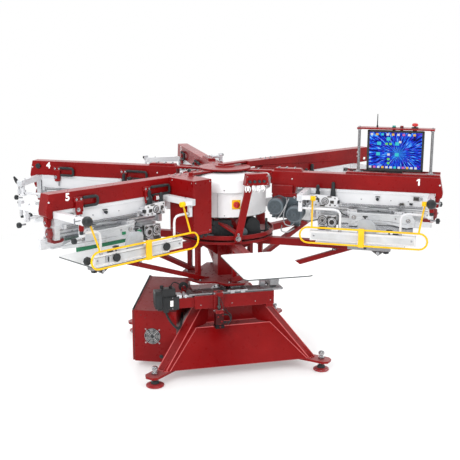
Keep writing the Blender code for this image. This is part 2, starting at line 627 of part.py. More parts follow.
# ---------------------------------------------------------------- safety hoops at the gap
def build_hoop(number, side, loop_in, loop_out, leg_in, leg_out):
    """A long rod loop beside the screen, on two legs with pivot eyes."""
    s = side * HOOP_S
    radius = (HOOP_HIGH - HOOP_LOW) / 2
    middle = (HOOP_HIGH + HOOP_LOW) / 2
    loop = []
    for centre, start in ((loop_in + radius, math.pi / 2), (loop_out - radius, -math.pi / 2)):
        for i in range(HOOP_STEPS + 1):
            t = start + math.pi * i / HOOP_STEPS
            loop.append((centre + radius * math.cos(t), s, middle + radius * math.sin(t)))
    legs = []
    for eye, foot in ((HOOP_IN + EYE_HALF, leg_in), (HOOP_OUT - EYE_HALF, leg_out)):
        legs.append(rod([(eye, s, HOOP_PIVOT), (foot + 0.2 * (eye - foot), s, HOOP_HIGH + 0.040),
                         (foot, s, HOOP_HIGH)], 0.0058))
        legs.append(cylinder((s, HOOP_PIVOT), EYE_R, eye - EYE_HALF, eye + EYE_HALF, "yz", 12))
    finish_turned(union(rod(loop, 0.006, closed=True), *legs), HEAD_ANGLES[number],
                  f"safety_hoop_{number}", YELLOW, (0.95, s, HOOP_PIVOT))


# ---------------------------------------------------------------- fittings round the drum
def build_main_switch():
    """A round knob with a grip bar, on the drum's front."""
    x, y, z = 0.004, -(DRUM_R + 0.0055), 1.100
    knob = cylinder((x, z), 0.0215, y - 0.010, y, "xz")
    grip = box(x - 0.0065, x + 0.0065, y - 0.024, y - 0.008, 1.0815, 1.1185)
    finish(union(knob, grip), "main_switch", REDCAP, (x, y, z))


def build_valve_pillar():
    head = [(0.036, 1.238), (0.196, 1.238), (0.186, 1.312), (0.048, 1.312)]
    finish(union(
        # leaning post
        bar((-0.006, -0.3500, 0.872), (0.076, -0.3500, 1.2500), 0.020, 0.046, (1, 0, 0)),
        # foot against the tray, tab over its rim and brace inwards
        box(-0.022, 0.022, -0.3600, -TRAY_R - 0.0012, 0.866, 0.925),
        box(-0.020, 0.022, -0.355, -0.300, TRAY_RIM + 0.002, TRAY_RIM + 0.020),
        bar((0.004, -0.333, 0.914), (-0.120, -0.219, 0.994), 0.040, 0.014),
        extrude(head, -0.378, -0.326, "xz"),
    ), "valve_pillar", RED)


def build_junction_box():
    """A box beside the arm, hollow and open below."""
    shell = box(0.376, 0.528, ARM_HALF + 0.0015, 0.265, 0.955, ARM_TOP - GAP)
    cavity = box(0.382, 0.522, ARM_HALF + 0.008, 0.259, 0.900, ARM_TOP - 0.010)
    finish_turned(cut(shell, cavity), JUNCTION_HEAD, "junction_box", RED, (0.45, 0.15, 1.12))


def build_stroke_motors():
    """Two motors on a plate bracketed to the side of the arm's root."""
    plate = [(0.345, 1.1485), (0.530, 1.1485), (0.545, 1.100), (0.545, 1.010), (0.470, 0.990),
             (0.350, 1.035)]
    pieces = [extrude(plate, -0.072, -0.062, "xz"),
              box(0.345, 0.490, -0.070, -0.0402, 1.1380, 1.1490),
              box(0.350, 0.480, -0.072, -0.0402, 1.1380, 1.2100)]
    for r, z in ((0.396, 1.092), (0.520, 1.047)):
        pieces.append(cylinder((r, z), 0.050, -0.205, -0.068, "xz"))
        pieces.append(box(r - 0.028, r + 0.028, -0.165, -0.100, z - 0.072, z - 0.035))
    finish_turned(union(*pieces), MOTOR_HEAD, "stroke_motors", BLUEGREY, (0.43, -0.13, 1.07))


# ---------------------------------------------------------------- operator display
def build_monitor_stand():
    """A floor plate with an upstand, two posts and a shelf bored for the buttons."""
    stand = union(
        box(0.820, 1.418, -0.012, 0.100, ARM_TOP, ARM_TOP + 0.009),
        box(0.820, 1.418, 0.094, 0.100, ARM_TOP, ARM_TOP + 0.018),
        *[cylinder((r, POST_S), POST_R, ARM_TOP + 0.005, 1.596, seg=16) for r in POST_PLACES],
        box(0.884, 1.370, -0.015, 0.075, 1.592, 1.602),
    )
    bores = [cylinder((r, POST_S), 0.0068, 1.55, 1.65, seg=16) for r in BUTTON_PLACES.values()]
    finish_turned(cut(stand, *bores), DISPLAY_HEAD, "monitor_stand", RED, (1.12, POST_S, 1.31))


def build_monitor():
    """A flat panel with a smaller raised block on its +s face, on a short foot."""
    finish_turned(union(
        extrude(rounded(0.950, 1.308, 1.326, 1.586, 0.006, 2), 0.010, 0.030, "xz"),
        extrude(rounded(0.985, 1.273, 1.352, 1.560, 0.010, 2), 0.025, 0.052, "xz"),
        box(1.080, 1.180, 0.018, 0.042, ARM_TOP + 0.0094, 1.335),
    ), DISPLAY_HEAD, "monitor", BLACK, (1.129, 0.03, 1.45))


# button profiles as (radius, z)
PUSH_PROFILE = ((0, BUTTON_LOW), (0.006, BUTTON_LOW), (0.006, 1.607), (0.011, 1.607),
                (0.011, 1.614), (0.009, 1.616), (0, 1.616))
MUSHROOM_PROFILE = ((0, BUTTON_LOW), (0.006, BUTTON_LOW), (0.006, 1.612), (0.019, 1.616),
                    (0.020, 1.623), (0.018, 1.630), (0.012, 1.634), (0, 1.636))


def build_button(name, profile, material):
    x, y, z = at_arm(DISPLAY_HEAD, BUTTON_PLACES[name], POST_S, 1.602)
    finish(moved(revolve(profile, 20), x, y, 0), name, material, (x, y, z))


# ---------------------------------------------------------------- build
for old in list(bpy.data.objects):
    bpy.data.objects.remove(old, do_unlink=True)
bpy.context.scene.unit_settings.scale_length = 1.0

feet_places = [at_arm(angle, toe, 0, 0) for angle, toe in LEGS]
build_base(feet_places)
for number, foot in enumerate(feet_places, 1):
    build_levelling_foot(number, foot)
build_cabinet()
build_column()
build_lift_sleeve()
build_index_drive()
build_lock()
build_carousel()
for number, angle in PALLET_ANGLES.items():
    build_pallet(number, angle)
build_tray()
build_drum()
build_hub()
for number, angle in HEAD_ANGLES.items():
    build_head_arm(number, angle)
    build_head_beam(number, angle)
    build_print_carriage(number, angle)
    for blade_row in BLADES:
        build_blade(number, angle, *blade_row)
for number, hoop_row in HOOPS.items():
    build_hoop(number, *hoop_row)
build_main_switch()
build_valve_pillar()
build_junction_box()
build_stroke_motors()
build_monitor_stand()
build_monitor()
build_button("start_button", PUSH_PROFILE, TEAL)
build_button("stop_button", PUSH_PROFILE, REDCAP)
build_button("estop_button", MUSHROOM_PROFILE, REDCAP)
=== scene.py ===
"""Looks for the screen printing carousel: materials, fittings, floor, light and camera.

Everything is in metres in the machine's own frame: origin on the floor under the column,
+Z up, loading gap towards -Y. Parts of a head or a pallet are given with x outwards along
the arm and y to its left, then turned to the arm's angle.
"""
import math
from fnmatch import fnmatchcase

import bmesh
import bpy
from mathutils import Matrix, Vector


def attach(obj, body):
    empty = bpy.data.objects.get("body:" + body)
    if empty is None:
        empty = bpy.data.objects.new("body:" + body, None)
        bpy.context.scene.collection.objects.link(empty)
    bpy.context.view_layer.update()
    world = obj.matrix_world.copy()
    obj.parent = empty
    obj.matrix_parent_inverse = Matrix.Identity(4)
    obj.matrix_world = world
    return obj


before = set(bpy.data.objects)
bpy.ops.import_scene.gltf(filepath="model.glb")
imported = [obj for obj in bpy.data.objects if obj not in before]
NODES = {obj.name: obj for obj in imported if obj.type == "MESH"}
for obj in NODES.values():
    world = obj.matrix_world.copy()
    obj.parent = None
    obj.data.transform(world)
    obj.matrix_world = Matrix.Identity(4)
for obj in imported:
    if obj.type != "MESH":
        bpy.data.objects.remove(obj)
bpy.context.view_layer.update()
scene = bpy.context.scene

# Number of each print head or pallet and its angle in degrees, anticlockwise from +X.
HEADS = {1: 330.0, 2: 30.0, 3: 90.0, 4: 150.0, 5: 210.0}
PALLETS = {**HEADS, 6: 270.0}
LONG_ARM = 2            # the head whose arm reaches further out
STAND_ANGLE = HEADS[1]  # the display stand and the stroke motors sit on this arm
ARM_FACE = 0.04         # half width of a head arm
NUMERAL_SIZE = 0.06

# Levelling feet: angle of the leg in degrees, distance of the foot from the column.
LEGS = ((221.6, 0.789), (315.0, 0.748), (45.0, 0.770), (135.0, 0.770))

SIDES = (-1, 1)
X, Y, Z = (1, 0, 0), (0, 1, 0), (0, 0, 1)
MINUS_X, MINUS_Y, MINUS_Z = (-1, 0, 0), (0, -1, 0), (0, 0, -1)


# =============================================================== shader helpers
def lin(*rgb):
    """sRGB 0-255 to linear RGBA."""
    def one(value):
        value /= 255.0
        return value / 12.92 if value <= 0.04045 else ((value + 0.055) / 1.055) ** 2.4
    return (*map(one, rgb), 1.0)


class Nodes:
    """Builds a node tree; any input may be a plain value or another node's output."""

    def __init__(self, tree):
        self.tree = tree

    def plug(self, socket, value):
        if isinstance(value, bpy.types.NodeSocket):
            self.tree.links.new(value, socket)
        else:
            socket.default_value = value

    def node(self, kind, inputs=None, **props):
        made = self.tree.nodes.new(kind)
        for key, value in props.items():
            setattr(made, key, value)
        for key, value in (inputs or {}).items():
            self.plug(made.inputs[key], value)
        return made

    def remap(self, value, span=(0.3, 0.7), to=(0.0, 1.0), smooth=False):
        """Map the range span onto the range to."""
        return self.node("ShaderNodeMapRange",
                         {"From Min": span[0], "From Max": span[1], "To Min": to[0],
                          "To Max": to[1], "Value": value},
                         interpolation_type="SMOOTHSTEP" if smooth else "LINEAR").outputs["Result"]

    def math(self, operation, first, second=None):
        inputs = {0: first} if second is None else {0: first, 1: second}
        return self.node("ShaderNodeMath", inputs, operation=operation).outputs[0]


class Paint(Nodes):
    """A material on object coordinates around one Principled shader."""

    INPUTS = {"color": "Base Color", "rough": "Roughness", "metal": "Metallic",
              "coat": "Coat Weight", "coat_rough": "Coat Roughness",
              "spec": "Specular IOR Level", "emit": "Emission Color",
              "emit_strength": "Emission Strength"}

    def __init__(self, name):
        self.material = bpy.data.materials.new(name)
        self.material.use_nodes = True
        super().__init__(self.material.node_tree)
        self.bsdf = self.tree.nodes["Principled BSDF"]
        self.coord = self.node("ShaderNodeTexCoord").outputs["Object"]

    def noise(self, scale, detail=3.0, rough=0.55, stretch=None, seed=0.0):
        vector = self.coord
        if stretch or seed:
            vector = self.node("ShaderNodeMapping",
                               {"Scale": stretch or (1, 1, 1),
                                "Location": (seed, seed * 0.37, seed * 0.71),
                                "Vector": vector}).outputs["Vector"]
        return self.node("ShaderNodeTexNoise",
                         {"Scale": scale, "Detail": detail, "Roughness": rough,
                          "Vector": vector}).outputs["Fac"]

    def patches(self, span=(0.3, 0.7), to=(0.0, 1.0), **noise):
        """Noise remapped from span to the range to."""
        return self.remap(self.noise(**noise), span, to)

    def mix(self, factor, low, high):
        return self.node("ShaderNodeMix", {0: factor, 6: low, 7: high},
                         data_type="RGBA", blend_type="MIX").outputs[2]

    def times(self, first, second):
        return self.math("MULTIPLY", first, second)

    def between(self, value, low, high):
        return self.times(self.math("GREATER_THAN", value, low),
                          self.math("LESS_THAN", value, high))

    def hypot(self, x, y):
        return self.math("SQRT", self.math("ADD", self.times(x, x), self.times(y, y)))

    def xyz(self):
        return self.node("ShaderNodeSeparateXYZ", {0: self.coord}).outputs

    def normal_z(self):
        geometry = self.node("ShaderNodeNewGeometry")
        return self.node("ShaderNodeSeparateXYZ", {0: geometry.outputs["True Normal"]}).outputs[2]

    def dot(self, first, second):
        return self.node("ShaderNodeVectorMath", {0: first, 1: second},
                         operation="DOT_PRODUCT").outputs["Value"]

    def edges(self, radius):
        """1 on convex and concave edges, 0 on flats."""
        bevel = self.node("ShaderNodeBevel", {"Radius": radius}, samples=4)
        geometry = self.node("ShaderNodeNewGeometry")
        facing = self.dot(bevel.outputs["Normal"], geometry.outputs["True Normal"])
        return self.remap(self.math("SUBTRACT", 1.0, facing), span=(0.02, 0.16), smooth=True)

    def bump(self, height, strength, distance):
        made = self.node("ShaderNodeBump",
                         {"Strength": strength, "Distance": distance, "Height": height})
        self.plug(self.bsdf.inputs["Normal"], made.outputs["Normal"])

    def set(self, **values):
        for key, value in values.items():
            self.plug(self.bsdf.inputs[self.INPUTS[key]], value)


# =============================================================== material recipes
def red_layers(mat):
    """Red enamel colour and roughness: drift, handling marks, pale edges (chipped paint and a
    painted highlight), dust.
    """
    color = mat.mix(mat.patches(scale=2.3, span=(0.35, 0.68)), lin(114, 9, 12), lin(134, 14, 15))
    marks = mat.patches(scale=16.0, detail=4.0, rough=0.65, seed=3.1,
                        span=(0.52, 0.78), to=(0.0, 0.30))
    color = mat.mix(marks, color, lin(152, 26, 27))
    # Pale pink edges: partly chipped paint, partly a painted highlight along every edge.
    edge = mat.edges(radius=0.005)
    chips = mat.patches(scale=70.0, rough=0.7, seed=7.7, span=(0.42, 0.66), to=(0.25, 1.0))
    edge_wear_and_highlight = mat.times(edge, chips)
    color = mat.mix(mat.times(edge_wear_and_highlight, 0.50), color, lin(206, 96, 98))
    upward = mat.remap(mat.normal_z(), span=(0.75, 0.98))
    dust = mat.patches(scale=9.0, detail=5.0, rough=0.7, seed=1.3,
                       span=(0.35, 0.75), to=(0.14, 0.28))
    color = mat.mix(mat.times(upward, dust), color, lin(206, 160, 160))
    rough = mat.patches(scale=26.0, detail=4.0, rough=0.6, seed=5.0, to=(0.24, 0.40))
    return color, mat.math("ADD", rough, mat.times(edge_wear_and_highlight, 0.18))


def red_paint(name, bands=(), ring=None):
    """Red enamel; bands are (low z, high z, finish) where the same solid shows another finish.

    A finish is a colour or "steel"; ring limits the bands to an (inner, outer) radius.
    """
    mat = Paint(name)
    color, rough = red_layers(mat)
    metallic = 0.0
    if bands:
        x, y, z = mat.xyz()
        zone = mat.between(mat.hypot(x, y), *ring) if ring else None
        for low, high, finish in bands:
            inside = mat.between(z, low, high)
            if zone is not None:
                inside = mat.times(inside, zone)
            if finish == "steel":
                streak = mat.patches(scale=40.0, detail=4.0, rough=0.6, stretch=(1.0, 9.0, 22.0))
                finish = mat.mix(streak, lin(112, 112, 114), lin(178, 178, 180))
                metallic = mat.times(inside, 0.92)
            color = mat.mix(inside, color, finish)
    mat.set(color=color, rough=rough, metal=metallic, coat=0.03, coat_rough=0.15, spec=0.15)
    mat.bump(mat.noise(scale=240.0, detail=2.0), strength=0.06, distance=0.0006)
    return mat.material


def white_paint(name, tone):
    mat = Paint(name)
    shade = lin(tone[0] - 20, tone[1] - 20, tone[2] - 19)
    color = mat.mix(mat.patches(scale=3.0, detail=4.0), shade, lin(*tone))
    smut = mat.patches(scale=34.0, detail=5.0, rough=0.7, seed=2.0,
                       span=(0.60, 0.80), to=(0.0, 0.35))
    color = mat.mix(smut, color, lin(168, 168, 166))
    edge = mat.edges(radius=0.004)
    worn = mat.times(edge, mat.patches(scale=90.0, rough=0.7, span=(0.48, 0.62), to=(0.0, 0.6)))
    color = mat.mix(worn, color, lin(128, 130, 134))
    mat.set(color=color, rough=mat.patches(scale=30.0, detail=4.0, seed=4.0, to=(0.30, 0.48)),
            coat=0.2, coat_rough=0.2, spec=0.45)
    mat.bump(mat.noise(scale=260.0, detail=2.0), strength=0.05, distance=0.0005)
    return mat.material


def metal(name, light, dark, rough, stretch=(1.0, 1.0, 18.0), scale=34.0, bump=0.06,
          metallic=1.0, green_below=None):
    """Machined metal: directional streaks, oxide blotches, edges brightened as a painted
    highlight, green under a height.
    """
    mat = Paint(name)
    streak = mat.noise(scale=scale, detail=5.0, rough=0.65, stretch=stretch)
    color = mat.mix(mat.remap(streak), lin(*dark), lin(*light))
    stain = mat.patches(scale=22.0, detail=4.0, rough=0.6, seed=6.0,
                        span=(0.58, 0.78), to=(0.0, 0.45))
    color = mat.mix(stain, color, lin(110, 108, 104))
    # Brighter edges: a painted highlight.
    color = mat.mix(mat.times(mat.edges(radius=0.003), 0.5), color, lin(240, 240, 242))
    gloss = mat.remap(streak, to=rough)
    if green_below is not None:
        inside = mat.math("LESS_THAN", mat.xyz()[2], green_below)
        green = mat.mix(mat.noise(scale=60.0), lin(14, 92, 62), lin(34, 132, 88))
        color = mat.mix(inside, color, green)
        metallic = mat.times(mat.math("SUBTRACT", 1.0, inside), metallic)
        gloss = mat.math("MAXIMUM", gloss, mat.times(inside, 0.5))
    mat.set(color=color, rough=gloss, metal=metallic)
    mat.bump(streak, strength=bump, distance=0.0004)
    return mat.material


def plastic(name, tone, rough=(0.35, 0.55), grain=320.0, bump=0.12, vary=10, coat=0.0):
    """Moulded or plainly painted surface: tone drifts by vary, edges paler as a painted highlight,
    dust on top.
    """
    mat = Paint(name)
    high = lin(*[min(255, c + vary) for c in tone])
    low = lin(*[max(0, c - vary) for c in tone])
    color = mat.mix(mat.patches(scale=14.0, detail=4.0, rough=0.6), low, high)
    # Paler edges: a painted highlight.
    edge = mat.times(mat.edges(radius=0.002), 0.35)
    color = mat.mix(edge, color, lin(*[min(255, c + 46) for c in tone]))
    upward = mat.remap(mat.normal_z(), span=(0.6, 0.95))
    dust = mat.patches(scale=40.0, detail=4.0, rough=0.7, span=(0.45, 0.8), to=(0.0, 0.18))
    color = mat.mix(mat.times(upward, dust), color, lin(190, 190, 188))
    mat.set(color=color, rough=mat.patches(scale=50.0, seed=2.0, to=rough),
            coat=coat, coat_rough=0.15)
    mat.bump(mat.noise(scale=grain, detail=2.0), strength=bump, distance=0.0005)
    return mat.material


def motor_with_red_top(red_above):
    """Grey motor enamel that turns to red enamel above a height."""
    mat = Paint("motor_enamel_and_red_plate")
    red, rough = red_layers(mat)
    grey = mat.mix(mat.patches(scale=14.0, detail=4.0, rough=0.6),
                   lin(74, 85, 92), lin(94, 105, 112))
    above = mat.math("GREATER_THAN", mat.xyz()[2], red_above)
    mat.set(color=mat.mix(above, grey, red), rough=mat.math("MAXIMUM", rough, 0.36), spec=0.2)
    mat.bump(mat.noise(scale=220.0, detail=2.0), strength=0.12, distance=0.0005)
    return mat.material


def yellow_paint():
    mat = Paint("yellow_enamel")
    color = mat.mix(mat.patches(scale=6.0), lin(226, 172, 0), lin(246, 196, 4))
    scuff = mat.patches(scale=120.0, detail=4.0, rough=0.75, seed=3.0,
                        span=(0.66, 0.80), to=(0.0, 0.6))
    color = mat.mix(scuff, color, lin(196, 146, 20))
    mat.set(color=color, rough=mat.patches(scale=40.0, to=(0.28, 0.42)),
            coat=0.1, coat_rough=0.15, spec=0.25)
    mat.bump(mat.noise(scale=300.0, detail=2.0), strength=0.05, distance=0.0005)
    return mat.material


def pallet_board():
    """White laminate with faint tack marks; sides darkened and underside greyed as painted shade.
    """
    mat = Paint("pallet_laminate")
    weave = mat.noise(scale=420.0, detail=2.0)
    color = mat.mix(mat.patches(scale=4.0, detail=4.0, rough=0.6),
                    lin(244, 245, 245), lin(252, 252, 251))
    tack = mat.patches(scale=19.0, detail=5.0, rough=0.7, seed=8.0,
                       span=(0.60, 0.82), to=(0.0, 0.16))
    color = mat.mix(tack, color, lin(206, 208, 208))
    # Painted shade: faces turned sideways are darkened.
    side = mat.remap(mat.math("ABSOLUTE", mat.normal_z()), span=(0.3, 0.6), to=(1.0, 0.0))
    color = mat.mix(side, color, lin(104, 108, 110))
    # Painted shade: faces turned downwards are greyed.
    under = mat.remap(mat.normal_z(), span=(-0.8, -0.4), to=(1.0, 0.0))
    color = mat.mix(under, color, lin(150, 152, 156))
    mat.set(color=color, rough=mat.patches(scale=60.0, to=(0.38, 0.55)), spec=0.4)
    mat.bump(weave, strength=0.05, distance=0.0004)
    return mat.material


def display_glow(centre, right):
    """A glowing screen: blue and cyan streaks bursting from a point just below its centre."""
    mat = Paint("display_glow")
    offset = mat.node("ShaderNodeVectorMath", {0: mat.coord, 1: centre},
                      operation="SUBTRACT").outputs[0]
    x = mat.dot(offset, right)
    y = mat.math("ADD", mat.dot(offset, Z), 0.012)
    angle = mat.math("ARCTAN2", y, x)
    reach = mat.hypot(x, y)
    rays = mat.node("ShaderNodeCombineXYZ",
                    {0: mat.times(angle, 6.5), 1: mat.times(reach, 8.0)}).outputs[0]
    streaks = mat.node("ShaderNodeTexNoise",
                       {"Scale": 2.2, "Detail": 5.0, "Roughness": 0.7, "Vector": rays})
    ramp = mat.node("ShaderNodeValToRGB", {"Fac": streaks.outputs["Fac"]})
    stops = ramp.color_ramp.elements
    stops[0].position, stops[0].color = 0.40, lin(3, 5, 60)
    stops[1].position, stops[1].color = 0.67, lin(190, 240, 255)
    for place, tone in ((0.48, (14, 26, 170)), (0.54, (22, 70, 236)), (0.61, (60, 176, 250))):
        stops.new(place).color = lin(*tone)
    violet = mat.node("ShaderNodeTexNoise", {"Scale": 3.0, "Vector": rays}).outputs["Fac"]
    color = mat.mix(mat.remap(violet, span=(0.62, 0.70), to=(0.0, 0.6)),
                    ramp.outputs["Color"], lin(168, 30, 170))
    core = mat.remap(reach, span=(0.0, 0.05), to=(0.5, 0.0))
    color = mat.mix(core, color, lin(40, 150, 220))
    mat.set(color=(0.002, 0.003, 0.006, 1.0), rough=0.5, emit=color, emit_strength=1.05,
            spec=0.05)
    return mat.material


def tile_glow(name, tone):
    mat = Paint(name)
    color = mat.mix(mat.patches(scale=400.0, detail=2.0),
                    lin(*[max(0, c - 26) for c in tone]), lin(*tone))
    mat.set(color=(0.01, 0.01, 0.01, 1.0), rough=0.5, emit=color, emit_strength=0.9, spec=0.05)
    return mat.material


RED = red_paint("red_enamel")
RED_BEAM = red_paint("red_enamel_and_rail", [(0.5195, 0.60, "steel")])
RED_STAND = red_paint("red_enamel_and_posts", [(1.32, 1.5915, "steel")])
RED_LOCK = red_paint("red_enamel_and_barrel",
                     [(0.300, 0.330, lin(20, 18, 20)), (0.330, 0.405, lin(58, 14, 16))])
RED_FRAME = red_paint("red_enamel_and_brackets", [(0.7975, 0.90, "steel")], ring=(0.85, 1.25))
WHITE = white_paint("white_enamel", (222, 223, 225))
DRUM_WHITE = white_paint("drum_enamel", (242, 243, 244))
LIGHT_GREY = plastic("light_grey_moulding", (190, 193, 196), rough=(0.4, 0.55), bump=0.08)
PAD_GREY = plastic("grey_moulding", (160, 164, 168), rough=(0.4, 0.55), bump=0.08)
ALU = metal("aluminium_cast", light=(234, 235, 238), dark=(182, 184, 188), rough=(0.28, 0.44),
            metallic=0.6)
ALU_PLATE = metal("aluminium_plate", light=(222, 224, 226), dark=(186, 189, 192),
                  rough=(0.36, 0.52), stretch=(1.0, 1.0, 14.0), metallic=0.35)
SQUEEGEE = metal("squeegee_holder", light=(214, 216, 219), dark=(176, 179, 183),
                 rough=(0.34, 0.48), metallic=0.4, green_below=0.9755)
STEEL = metal("ground_steel", light=(206, 207, 210), dark=(140, 142, 146), rough=(0.16, 0.30),
              stretch=(1.0, 1.0, 26.0))
CHROME = metal("chrome_plate", light=(206, 206, 208), dark=(132, 132, 135), rough=(0.08, 0.18),
               stretch=(1, 1, 4), scale=20.0, bump=0.02)
DARK_STEEL = metal("dark_steel", light=(96, 94, 92), dark=(46, 44, 43), rough=(0.32, 0.5),
                   metallic=0.8)
BLACK = plastic("black_moulding", (26, 28, 30), rough=(0.32, 0.5), vary=5)
RUBBER = plastic("black_rubber", (34, 38, 40), rough=(0.55, 0.75), grain=180.0, bump=0.25, vary=6)
YELLOW = yellow_paint()
ORANGE = plastic("orange_strap", (252, 184, 8), rough=(0.4, 0.55), grain=240.0, bump=0.2, vary=8)
MOTOR = plastic("motor_enamel", (84, 95, 102), rough=(0.34, 0.5), grain=200.0, bump=0.18,
                coat=0.15)
MOTOR_DARK = plastic("motor_dark", (36, 44, 50), rough=(0.4, 0.6), vary=8)
MOTOR_RED_TOP = motor_with_red_top(red_above=1.136)
BOARD = pallet_board()
TEAL = plastic("teal_cap", (16, 150, 136), rough=(0.2, 0.32), bump=0.04, coat=0.6)
COLLET = plastic("dark_collet", (28, 50, 58), rough=(0.25, 0.4), bump=0.04, coat=0.3)
# Pale pink on the weld beads and leg lips is a painted highlight along the base's edges.
WELD = plastic("weld_painted_highlight", (196, 88, 88), rough=(0.35, 0.5), bump=0.06, vary=14)
SILVER_GREY = metal("satin_fittings", light=(196, 198, 201), dark=(142, 145, 149),
                    rough=(0.3, 0.45), metallic=0.7)
ROD_GREY = metal("post_steel", light=(150, 148, 146), dark=(92, 90, 88), rough=(0.25, 0.4),
                 stretch=(1.0, 1.0, 6.0))
DEEP_RED = plastic("casting_red", (112, 14, 18), rough=(0.3, 0.45), grain=120.0, bump=0.2,
                   vary=12, coat=0.1)
RED_CAP = plastic("red_cap", (190, 26, 24), rough=(0.22, 0.35), bump=0.05, coat=0.5)
DARK_RED_CAP = plastic("dark_red_cap", (122, 22, 26), rough=(0.22, 0.35), bump=0.05, coat=0.5)
CLEAR_WHITE = plastic("milky_bowl", (240, 242, 242), rough=(0.15, 0.25), bump=0.03, coat=0.5)
PRINT_WHITE = plastic("white_numeral", (246, 246, 244), rough=(0.4, 0.5), bump=0.05, vary=3)
GREEN = plastic("green_rubber", (22, 122, 80), rough=(0.45, 0.6))
FOOT_RED = plastic("red_pad", (142, 26, 32), rough=(0.4, 0.55), grain=160.0, bump=0.2)


# =============================================================== mesh kit
class Kit:
    """Collects closed shapes, all through one matrix, into one mesh."""

    BLOCK = [[0, 1, 2, 3], [7, 6, 5, 4], [0, 4, 5, 1], [1, 5, 6, 2], [2, 6, 7, 3], [3, 7, 4, 0]]

    def __init__(self, matrix=None):
        self.matrix = matrix or Matrix.Identity(4)
        self.verts, self.faces = [], []

    def add(self, verts, faces, local=None):
        start = len(self.verts)
        matrix = self.matrix @ local if local else self.matrix
        self.verts += [matrix @ Vector(p) for p in verts]
        self.faces += [[start + i for i in face] for face in faces]

    def block(self, corners, local=None):
        """A six-sided solid: four corners of one face, then the matching four opposite."""
        self.add(corners, self.BLOCK, local)

    def prism(self, outline, low, high, axes="xz", local=None):
        """An outline in the plane of axes, drawn out from low to high along the third axis."""
        order = {"xy": (0, 1, 2), "xz": (0, 2, 1), "yz": (1, 2, 0)}[axes]
        verts = []
        for level in (low, high):
            for first, second in outline:
                vert = [0.0, 0.0, 0.0]
                vert[order[0]], vert[order[1]], vert[order[2]] = first, second, level
                verts.append(vert)
        n = len(outline)
        faces = [list(range(n))[::-1], list(range(n, 2 * n))]
        faces += [[i, (i + 1) % n, n + (i + 1) % n, n + i] for i in range(n)]
        self.add(verts, faces, local)

    def box(self, x0, x1, y0, y1, z0, z1, local=None):
        x0, x1 = min(x0, x1), max(x0, x1)
        y0, y1 = min(y0, y1), max(y0, y1)
        self.prism([(x0, y0), (x1, y0), (x1, y1), (x0, y1)], z0, z1, "xy", local)

    def lathe(self, profile, base, axis=Z, seg=20):
        """profile is (radius, height) along axis from base; its ends close on the axis."""
        turned = Vector(axis).normalized().to_track_quat("Z", "Y").to_matrix().to_4x4()
        verts, rings = [], []
        for radius, height in profile:
            if radius < 1e-7:
                rings.append([len(verts)] * seg)
                verts.append((0, 0, height))
            else:
                rings.append(list(range(len(verts), len(verts) + seg)))
                verts += [(radius * math.cos(2 * math.pi * i / seg),
                           radius * math.sin(2 * math.pi * i / seg), height) for i in range(seg)]
        faces = []
        for lower, upper in zip(rings, rings[1:]):
            for i in range(seg):
                j = (i + 1) % seg
                # a ring on the axis is one vertex, so its quads become triangles
                face = list(dict.fromkeys((lower[i], lower[j], upper[j], upper[i])))
                if len(face) > 2:
                    faces.append(face)
        self.add(verts, faces, Matrix.Translation(base) @ turned)

    def rod(self, start, end, radius, seg=14):
        """A round bar with lightly chamfered ends."""
        start, end = Vector(start), Vector(end)
        length = (end - start).length
        cut = min(0.12 * radius, length * 0.3)
        self.lathe([(0, 0), (radius - cut, 0), (radius, cut), (radius, length - cut),
                    (radius - cut, length), (0, length)], start, end - start, seg)

    def along(self, y, z, x0, x1, radius, seg=14):
        self.rod((x0, y, z), (x1, y, z), radius, seg)

    def across(self, x, z, y0, y1, radius, seg=14):
        self.rod((x, y0, z), (x, y1, z), radius, seg)

    def post(self, x, y, z0, z1, radius, seg=14):
        self.rod((x, y, z0), (x, y, z1), radius, seg)

    def tube(self, path, radius, seg=10, closed=False):
        points = [Vector(p) for p in path]
        n = len(points)
        tangents = []
        for i in range(n):
            before = points[i - 1] if (i or closed) else points[i]
            after = points[(i + 1) % n] if (i < n - 1 or closed) else points[i]
            tangents.append((after - before).normalized())
        normal = tangents[0].orthogonal().normalized()
        verts, faces = [], []
        for i, (point, tangent) in enumerate(zip(points, tangents)):
            if i:
                normal = tangents[i - 1].rotation_difference(tangent) @ normal
            normal = (normal - tangent * normal.dot(tangent)).normalized()
            other = tangent.cross(normal)
            for k in range(seg):
                angle = 2 * math.pi * k / seg
                verts.append(point + radius * (math.cos(angle) * normal
                                               + math.sin(angle) * other))
        for i in range(n if closed else n - 1):
            j = (i + 1) % n
            for k in range(seg):
                m = (k + 1) % seg
                faces.append([i * seg + k, i * seg + m, j * seg + m, j * seg + k])
        if not closed:
            faces += [list(range(seg))[::-1], list(range((n - 1) * seg, n * seg))]
        self.add(verts, faces)

    def hose(self, points, radius, per=8, seg=8):
        """A tube on a smooth curve with per steps between its points."""
        self.tube(smooth_curve(points, per), radius, seg)

    def ball(self, centre, radius, seg=20, rings=12, squash=1.0):
        profile = [(radius * math.sin(math.pi * i / rings),
                    -radius * squash * math.cos(math.pi * i / rings)) for i in range(rings + 1)]
        self.lathe(profile, centre, Z, seg)

    def ring(self, centre, axis, radius, thick, seg=28, tube_seg=8):
        turned = Vector(axis).normalized().to_track_quat("Z", "Y")
        points = [Vector(centre) + turned @ Vector((radius * math.cos(2 * math.pi * i / seg),
                                                    radius * math.sin(2 * math.pi * i / seg), 0))
                  for i in range(seg)]
        self.tube(points, thick, tube_seg, True)

    def bolt(self, place, axis, radius, height, washer=True):
        """A hex head, usually on a washer, with a raised centre."""
        axis = Vector(axis).normalized()
        place = Vector(place)
        if washer:
            self.lathe([(0, 0), (radius * 1.35, 0), (radius * 1.45, height * 0.08),
                        (radius * 1.45, height * 0.26), (0, height * 0.28)], place, axis, 16)
        self.lathe([(0, 0), (radius, 0), (radius, height * 0.8), (radius * 0.86, height),
                    (0, height * 1.02)], place + axis * height * 0.2, axis, 6)

